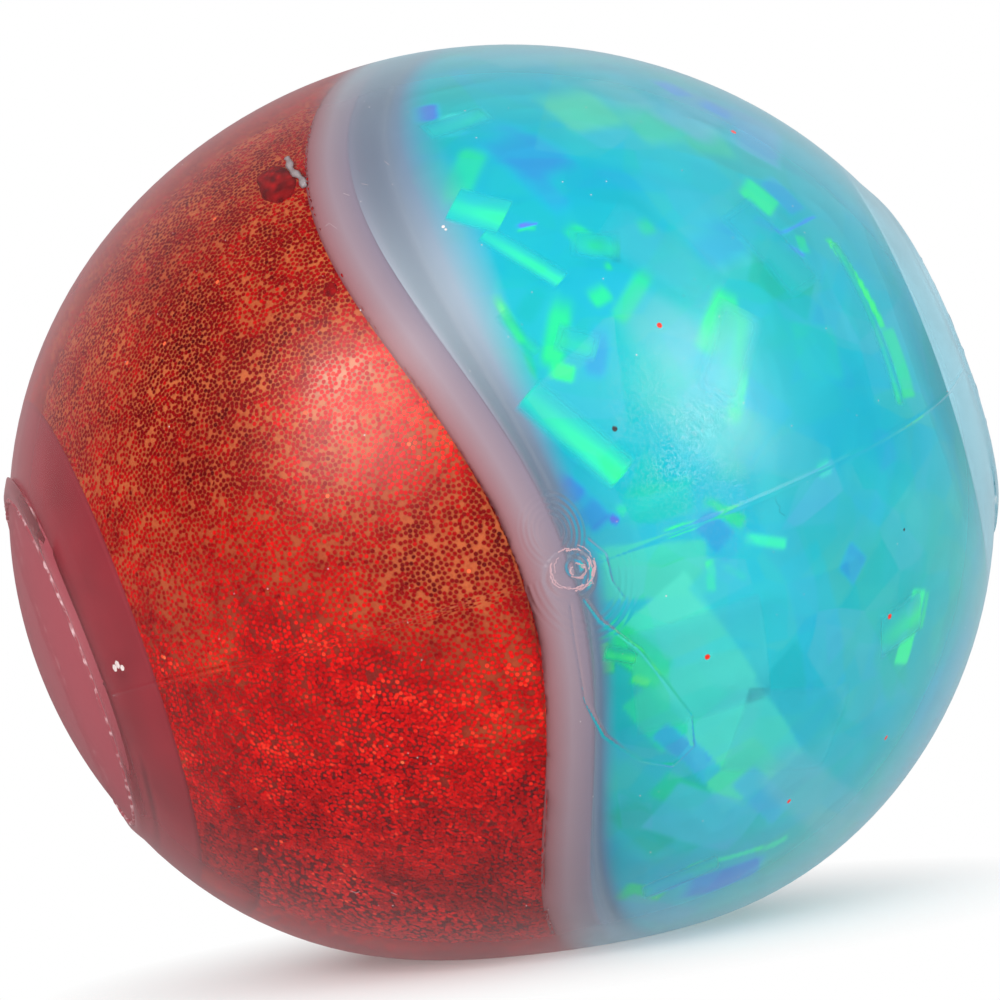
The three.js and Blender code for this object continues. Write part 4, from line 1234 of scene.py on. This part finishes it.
def film_pane(name, row, number, material):
    """A pane of film bent to its sphere, with a crisp cut end and softer sides."""
    place, turn, heading, long_share, wide_share, layer, tone, much, glow, pale, end_soft, side_soft = row
    radius = STRIP_SPHERE - layer * STRIP_LAYER
    station = place * radius
    middle = on_plane(station, np.array(sqrt(radius ** 2 - station ** 2)), radians(turn))
    normal = unit(middle)
    run, _ = beside(normal)
    run = np.array(Matrix.Rotation(radians(heading), 3, Vector(normal)) @ Vector(run))
    cross = np.cross(normal, run)
    across, along = 24, 40
    u, v = np.meshgrid(np.linspace(-0.5, 0.5, across + 1), np.linspace(-0.5, 0.5, along + 1))
    long, wide = long_share * FILM_LENGTH, wide_share * FILM_WIDTH
    way = unit(middle + run * (v * long)[..., None] + cross * (u * wide)[..., None])
    lift = radius - 0.25 * np.cos(pi * v) + 0.1 * noise3(way * radius, 3.0, 40 + number)
    top, under = way * lift[..., None], way * (lift - PANE)[..., None]
    points = np.concatenate([top.reshape(-1, 3), under.reshape(-1, 3)])
    made = make_object(name, points, slab_faces(across, along), [material], sharp=40)
    base, _, _ = film_field(points)
    far_end = np.clip((0.5 - np.abs(v)) * long / end_soft + 0.35, 0, 1)
    sides = eased(np.clip((0.5 - np.abs(u)) * wide / side_soft + 0.1, 0, 1))
    cover = (far_end * sides * much).ravel()
    # A strip bows across, so a painted highlight flares along its middle and towards its near end, and its
    # tone turns bluer where the painted highlight is weak.
    flare = (0.25 + 0.75 * np.exp(-((u + 0.08) / 0.25) ** 2)) * (0.75 + 0.5 * v)
    drop = 0.25 * min(max((tone - 0.5) / 0.3, 0), 1)
    wave = (flare + 0.2 * noise3(way * radius, 4.0, 80 + number)).ravel()
    set_values(made, "tone", np.clip(0.3 * base + 0.7 * tone - drop * (1 - np.tile(flare.ravel(), 2)), 0, 1))
    set_values(made, "pale", np.full(len(points), pale))
    set_values(made, "lit", np.tile(np.clip(glow * wave, 0, 1), 2))
    set_values(made, "cover", np.tile(np.clip(cover, 0, 1), 2))
    face_out(made)
    return made


class BALL_OT_film_strips(bpy.types.Operator):
    """Lays the cut strips of film on the crumpled heart"""
    bl_idname = "ball.film_strips"
    bl_label = "Film strips"

    def execute(self, context):
        material = cut_film()
        for number, row in enumerate(STRIPS, 1):
            made = film_pane("pane_%02d" % number, row, number, material)
            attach(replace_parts(made, "film_strip_%02d" % number), "film_bundle")
        return {"FINISHED"}


class BALL_OT_thick_ends(bpy.types.Operator):
    """Builds the clouded rubber in the thick wall at each chamber's end, round the port"""
    bl_idname = "ball.thick_ends"
    bl_label = "Thick ends"

    def execute(self, context):
        c = context.scene.ball_colours
        azimuth = around(180)
        for side, name, colour in ((-1, "red", c.end_red), (1, "film", c.end_film)):
            profile = ((13.1, port(side)[2] - 0.3), (13.1, 7.3), (13.4, 6.1), (17.8, 6.1), (18.3, 5.4),
                       (19.2, 4.9), (20.8, 5.6))
            rings = [port_points(side, r, d, azimuth) for r, d in profile]
            for station in np.linspace(45.0, 41.95, 8):
                radius = form_radius(1.2, side * station, azimuth)
                rings.append(on_plane(side * station, radius, azimuth))
            rings.append(on_plane(side * 41.9, 13.2, azimuth))
            made = make_object(name + "_thick_end", np.array(rings + rings[:1]),
                               loft_faces(len(rings) + 1, len(azimuth)), [thick_end(name, colour)])
            face_out(made)
            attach(made, "ball")
        return {"FINISHED"}


class BALL_OT_plugs(bpy.types.Operator):
    """Builds the two mushroom plugs and their rings of glue"""
    bl_idname = "ball.plugs"
    bl_label = "Plugs and glue"

    def execute(self, context):
        azimuth = around(288)
        for side, name, dome in ((-1, "red", 3.1), (1, "film", 1.0)):
            end_depth = port(side)[2]
            rim, under, head, neck = 3.35, 5.45, 17.6, 10.5
            edge = head - 0.5
            bow = (edge ** 2 + dome ** 2) / (2 * dome)
            profile = [(0, end_depth - 0.4), (neck - 0.3, end_depth - 0.4), (neck, end_depth - 0.7),
                       (neck, under + 0.1), (neck + 0.1, under), (head - 0.1, under), (head, under - 0.1),
                       (head, rim + 0.5)]
            for t in np.linspace(0, 1, 5)[1:]:
                profile.append((head - 0.5 * (1 - cos(t * pi / 2)), rim + 0.5 - 0.5 * sin(t * pi / 2)))
            lean = asin(edge / bow)
            for t in np.linspace(1, 0, 16)[1:]:
                profile.append((bow * sin(lean * t), rim - dome + bow - bow * cos(lean * t)))
            rings = np.array([port_points(side, r, d, azimuth) for r, d in profile])
            rubber = plug_rubber(name, "AC525C" if side < 0 else "82B6C6")
            made = closed_loft(name + "_plug", rings, [rubber], sharp=40)
            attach(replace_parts(made, name + "_end_plug"), "ball")
            # The glue's pale colour on its folds is partly real glue and partly a painted highlight.
            glue = set_glue(name, *(("A84C56", "E8C4C6") if side < 0 else ("8CB8C8", "D4E2E8")))
            # The glue under the head, and the bead that it squeezed out round the head's edge
            for part, far, deep, thick, high, crinkle in (("_glue", 11.6, 6.35, 0.75, 0.52, 0.1),
                                                          ("_glue_bead", 17.72, 3.5, 0.26, 0.3, 0.11)):
                rings = []
                for k in range(12):
                    spot = 2 * pi * k / 12
                    way = np.stack([np.cos(azimuth) * far, np.sin(azimuth) * far,
                                    np.full(azimuth.shape, 2.0 * k)], -1)
                    wobble = crinkle * (noise3(way, 1.1, 51) + 0.6 * noise3(way, 0.5, 52))
                    r, d = far + thick * cos(spot) + wobble * 0.4, deep + high * sin(spot) + wobble
                    rings.append(port_points(side, r, d, azimuth))
                made = closed_loft(name + part, np.array(rings + rings[:1]), [glue], sharp=None)
                if part == "_glue":
                    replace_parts(made, name + "_plug_glue")
                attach(made, "ball")
        return {"FINISHED"}


class BALL_OT_marks(bpy.types.Operator):
    """Adds what handling and moulding left: the gate's torn rim, dust, hairs, a bubble and stray flakes"""
    bl_idname = "ball.marks"
    bl_label = "Marks"

    def execute(self, context):
        rng = np.random.default_rng(context.scene.ball_sizes.seed + 2)
        # The gate's rim tore when the sprue broke off: crinkled pinkish shreds round a small ring.
        shreds = []
        for _ in range(34):
            size = rng.choice([2.15, 1.95, 1.6, 0.72, 0.6], p=[0.32, 0.26, 0.14, 0.16, 0.12])
            size += rng.normal(0, 0.06)
            middle = (-3.3, 0.1) if size > 1.2 else (-2.85, -0.3)
            start = rng.uniform(0, 360)
            turn = np.radians(start + np.linspace(0, rng.uniform(22, 60), 22))
            wobble = size + np.cumsum(rng.normal(0, 0.025, 22)) + rng.normal(0, 0.02, 22)
            spots = np.stack([middle[0] + wobble * np.cos(turn),
                              middle[1] + np.degrees(wobble * np.sin(turn) / GATE_RADIUS)], -1)
            thick = rng.uniform(0.035, 0.075) * np.clip(1 + rng.normal(0, 0.3, 22), 0.3, 1.6)
            shreds.append((over_skin(spots, 0.02), thick))
        made = tubes("gate_shreds", shreds, plain("thermoplastic_rubber_torn", "C8A2AA", 0.35))
        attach(made, "ball")

        hairs = []
        for spots, thick in (([(18.5, -0.7), (18.4, -1.4), (18.7, -1.9), (18.4, -2.5), (18.9, -3.2)], 0.025),
                             ([(-12.7, 50.2), (-12.2, 50.4), (-11.8, 49.0)], 0.03),
                             ([(-9.6, 53.9), (-9.2, 53.1)], 0.05), ([(-7.6, 54.1), (-7.1, 53.4)], 0.04),
                             ([(-4.5, 56.3), (-4.3, 55.3)], 0.04),
                             ([(-31.0, -42.6), (-30.5, -43.0), (-30.2, -42.4)], 0.04),
                             ([(-27.5, -41.5), (-27.0, -42.0)], 0.04)):
            hairs.append((over_skin(drawn(spots, 12), 0.02), thick * 0.55))
        made = tubes("hairs", hairs[1:], plain("dust_fibre_pale", "B4A4A8", 0.6))
        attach(made, "ball")
        made = tubes("hair_dark", hairs[:1], plain("hair_dark", "2A4A60", 0.5))
        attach(made, "ball")

        # Dust on the skin, clear of the table, and a few larger chips
        count = 300
        spots = np.stack([rng.uniform(-40, 40, count), rng.uniform(-80, 260, count)], -1)
        middle = over_skin(spots, 0.015)
        high = to_world(middle)[:, 2]
        middle = middle[(high > 0.003) & (high < 0.09)]
        count = len(middle)
        made = flake_mesh("dust", middle, 1, 0.1 * rng.uniform(0.5, 1.5, count), rng, 0.1,
                          plain("dust_pale", "CFC6C8", 0.7, 0.1))
        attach(made, "ball")
        middle = over_skin([(-45.2, 4.6), (-45.5, 3.9), (-44.9, 3.6), (-2.5, 42.7), (-2.4, 42.2)], 0.02)
        made = flake_mesh("chips", middle, 1, np.array([0.75, 0.7, 0.6, 0.3, 0.25]), rng, 0.05,
                          plain("rubber_chip_pale", "E8D8D4", 0.6, 0.2))
        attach(made, "ball")

        # A bubble beside the wall, clotted with flakes, and a smaller clot below it
        turns, leans = around(72), np.linspace(0, pi, 40)
        for name, spot, across, along, high in (("clot_by_bubble", (-13.5, 66.8), 1.8, 3.4, 0.7),
                                                ("clot", (-13.9, 43.9), 0.7, 0.9, 0.35)):
            heart = over_skin(spot, -4.75)
            normal = unit(heart)
            run, side = beside(normal)
            rings = []
            for lean in leans:
                ring = run * (np.cos(turns) * across)[:, None] + side * (np.sin(turns) * along)[:, None]
                rings.append(heart + ring * sin(lean) + normal * high * cos(lean))
            rings = np.array(rings)
            rings += (rings - heart) * 0.16 * noise3(rings, 0.9, 57)[..., None]
            made = closed_loft(name, rings, [bpy.data.materials[FLAKES]], sharp=None)
            set_values(made, "shade", 0.16 + 0.3 * noise3(positions(made.data) / MM, 0.55, 58))
            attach(made, "ball")
        # The bubble's pale grey edge is a painted highlight along its side.
        turn = np.linspace(62.5, 71.0, 24)
        made = tubes("bubble", [(over_skin(np.stack([-11.5 + 0.15 * np.sin(turn), turn], -1), -4.3),
                                 0.34 + 0.1 * np.sin(turn * 2.3))], plain("bubble_edge", "948A8C", 0.3))
        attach(made, "ball")

        # Flakes that got past the wall, and two specks of black, on the film chamber's wall
        middle = over_skin([(13.5, 23.6), (7.4, -16.6), (12.6, -44.5), (24.2, -47.7), (27.0, -26.7),
                            (41.0, -3.5), (30.0, 60.0), (20.0, 110.0), (26.0, 150.0), (12.0, 200.0),
                            (34.0, 240.0)], -4.3)
        made = flake_mesh("stray_flakes", middle, 0.85, 0.5, rng, 0.1, bpy.data.materials[FLAKES])
        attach(made, "ball")
        middle = over_skin([(5.6, 13.2), (31.0, -16.1), (20.0, 170.0)], -4.3)
        made = flake_mesh("specks", middle, 1, np.array([0.5, 0.3, 0.4]), rng, 0.1,
                          plain("speck_black", "1A1416", 0.5))
        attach(made, "ball")
        return {"FINISHED"}


LAMP_DISTANCE, CAMERA_DISTANCE = 0.6, 0.7   # in metres from the ball's middle


class BALL_OT_stage(bpy.types.Operator):
    """Sets the floor, the room, two softboxes and the camera"""
    bl_idname = "ball.stage"
    bl_label = "Stage"

    def execute(self, context):
        scene = context.scene
        scene.view_settings.view_transform = "Standard"
        middle = Vector((0, 0, 0.045))
        world = bpy.data.worlds.new("studio")
        scene.world = world
        world.use_nodes = True
        tree = world.node_tree
        tree.nodes.clear()
        ray = add_node(tree, "ShaderNodeLightPath")
        # White behind the ball. The room in front of it, where the camera stands, is dim in reflections.
        place = add_node(tree, "ShaderNodeTexCoord")
        axes = add_node(tree, "ShaderNodeSeparateXYZ", {"Vector": (place, "Generated")})
        room = remap(tree, (axes, "Y"), 0.0, 0.9, 0.04, 0.5, interpolation_type="SMOOTHSTEP")
        mirror = calc(tree, "MULTIPLY", (ray, "Is Glossy Ray"), room)
        seen = calc(tree, "MAXIMUM", (ray, "Is Camera Ray"), (ray, "Is Transmission Ray"))
        matt_light = calc(tree, "MULTIPLY", (ray, "Is Diffuse Ray"), 0.6)
        strength = calc(tree, "MAXIMUM", calc(tree, "MAXIMUM", seen, mirror), matt_light)
        back = add_node(tree, "ShaderNodeBackground", {"Color": WHITE, "Strength": strength})
        add_node(tree, "ShaderNodeOutputWorld", {"Surface": (back, 0)})

        # Matt white paper, which fades into the white of the room away from the ball.
        paper, tree = new_material("studio_paper_matt_white")
        place = add_node(tree, "ShaderNodeTexCoord")
        away = add_node(tree, "ShaderNodeVectorMath", {0: (place, "Object")}, operation="LENGTH")
        fade = remap(tree, (away, "Value"), 0.02, 0.055, 0.0, 1.0)
        matt = add_node(tree, "ShaderNodeBsdfDiffuse", {"Color": (0.9, 0.9, 0.9, 1)})
        # Like the room, it is white to the eye and through the rubber, dimmer in reflections, and lights
        # nothing.
        ray = add_node(tree, "ShaderNodeLightPath")
        seen = calc(tree, "MAXIMUM", (ray, "Is Camera Ray"), (ray, "Is Transmission Ray"))
        strength = remap(tree, seen, 0.0, 1.0, 0.4, 1.0)
        amount = calc(tree, "MULTIPLY", fade, calc(tree, "MAXIMUM", seen, (ray, "Is Glossy Ray")))
        white = add_node(tree, "ShaderNodeEmission", {"Color": WHITE, "Strength": strength})
        surfaced(paper, mix_shaders(tree, amount, (matt, 0), (white, 0)))
        corners = np.array([(-3, -3, 0), (3, -3, 0), (3, 3, 0), (-3, 3, 0)], float)
        floor = make_object("floor", corners, [(0, 1, 2, 3)], [paper], smooth=False, world=True)

        for name, turn, rise, size, power in (("softbox_left", -31, 30, (0.3, 0.4), 2.0),
                                              ("softbox_right", 54, 20, (0.25, 0.35), 1.4)):
            lamp = bpy.data.lights.new(name, "AREA")
            lamp.shape = "RECTANGLE"
            lamp.size, lamp.size_y = size
            lamp.energy = power
            made = bpy.data.objects.new(name, lamp)
            scene.collection.objects.link(made)
            way = Vector((sin(radians(turn)) * cos(radians(rise)), -cos(radians(turn)) * cos(radians(rise)),
                          sin(radians(rise))))
            made.location = middle + way * LAMP_DISTANCE
            made.rotation_euler = way.to_track_quat("Z", "Y").to_euler()

        rise, roll = radians(2), radians(7.5)
        forward = Vector((0, cos(rise), -sin(rise)))
        right, up = Vector((1, 0, 0)), Vector((0, sin(rise), cos(rise)))
        lens = bpy.data.cameras.new("camera")
        lens.sensor_width = 36
        lens.lens = 243.15
        lens.clip_start, lens.clip_end = 0.05, 20
        lens.shift_x, lens.shift_y = -0.0018, 0.0092
        camera = bpy.data.objects.new("camera", lens)
        scene.collection.objects.link(camera)
        x = right * cos(roll) - up * sin(roll)
        y = right * sin(roll) + up * cos(roll)
        turn = Matrix((x, y, -forward)).transposed()
        camera.matrix_world = Matrix.Translation(middle - forward * CAMERA_DISTANCE) @ turn.to_4x4()
        scene.camera = camera
        return {"FINISHED"}


class BALL_PT_panel(bpy.types.Panel):
    """Lists the sizes, the colours and the steps"""
    bl_idname = "BALL_PT_panel"
    bl_label = "Sensory ball"
    bl_space_type = "VIEW_3D"
    bl_region_type = "UI"
    bl_category = "Sensory ball"

    def draw(self, context):
        for group in (context.scene.ball_sizes, context.scene.ball_colours):
            for key in group.__annotations__:
                self.layout.prop(group, key)
        for step in STEPS:
            self.layout.operator(step.bl_idname)


STEPS = (BALL_OT_stage, BALL_OT_skin, BALL_OT_wavy_wall, BALL_OT_red_filling, BALL_OT_glitter,
         BALL_OT_settled, BALL_OT_film_core, BALL_OT_film_strips, BALL_OT_thick_ends, BALL_OT_plugs,
         BALL_OT_marks)
CLASSES = (BallSizes, BallColours) + STEPS + (BALL_PT_panel,)


def register():
    for made in CLASSES:
        bpy.utils.register_class(made)
    bpy.types.Scene.ball_sizes = bpy.props.PointerProperty(type=BallSizes)
    bpy.types.Scene.ball_colours = bpy.props.PointerProperty(type=BallColours)


def unregister():
    del bpy.types.Scene.ball_sizes
    del bpy.types.Scene.ball_colours
    for made in reversed(CLASSES):
        bpy.utils.unregister_class(made)


def main():
    register()
    for step in STEPS:
        group, name = step.bl_idname.split(".")
        getattr(getattr(bpy.ops, group), name)()


if __name__ == "__main__":
    main()
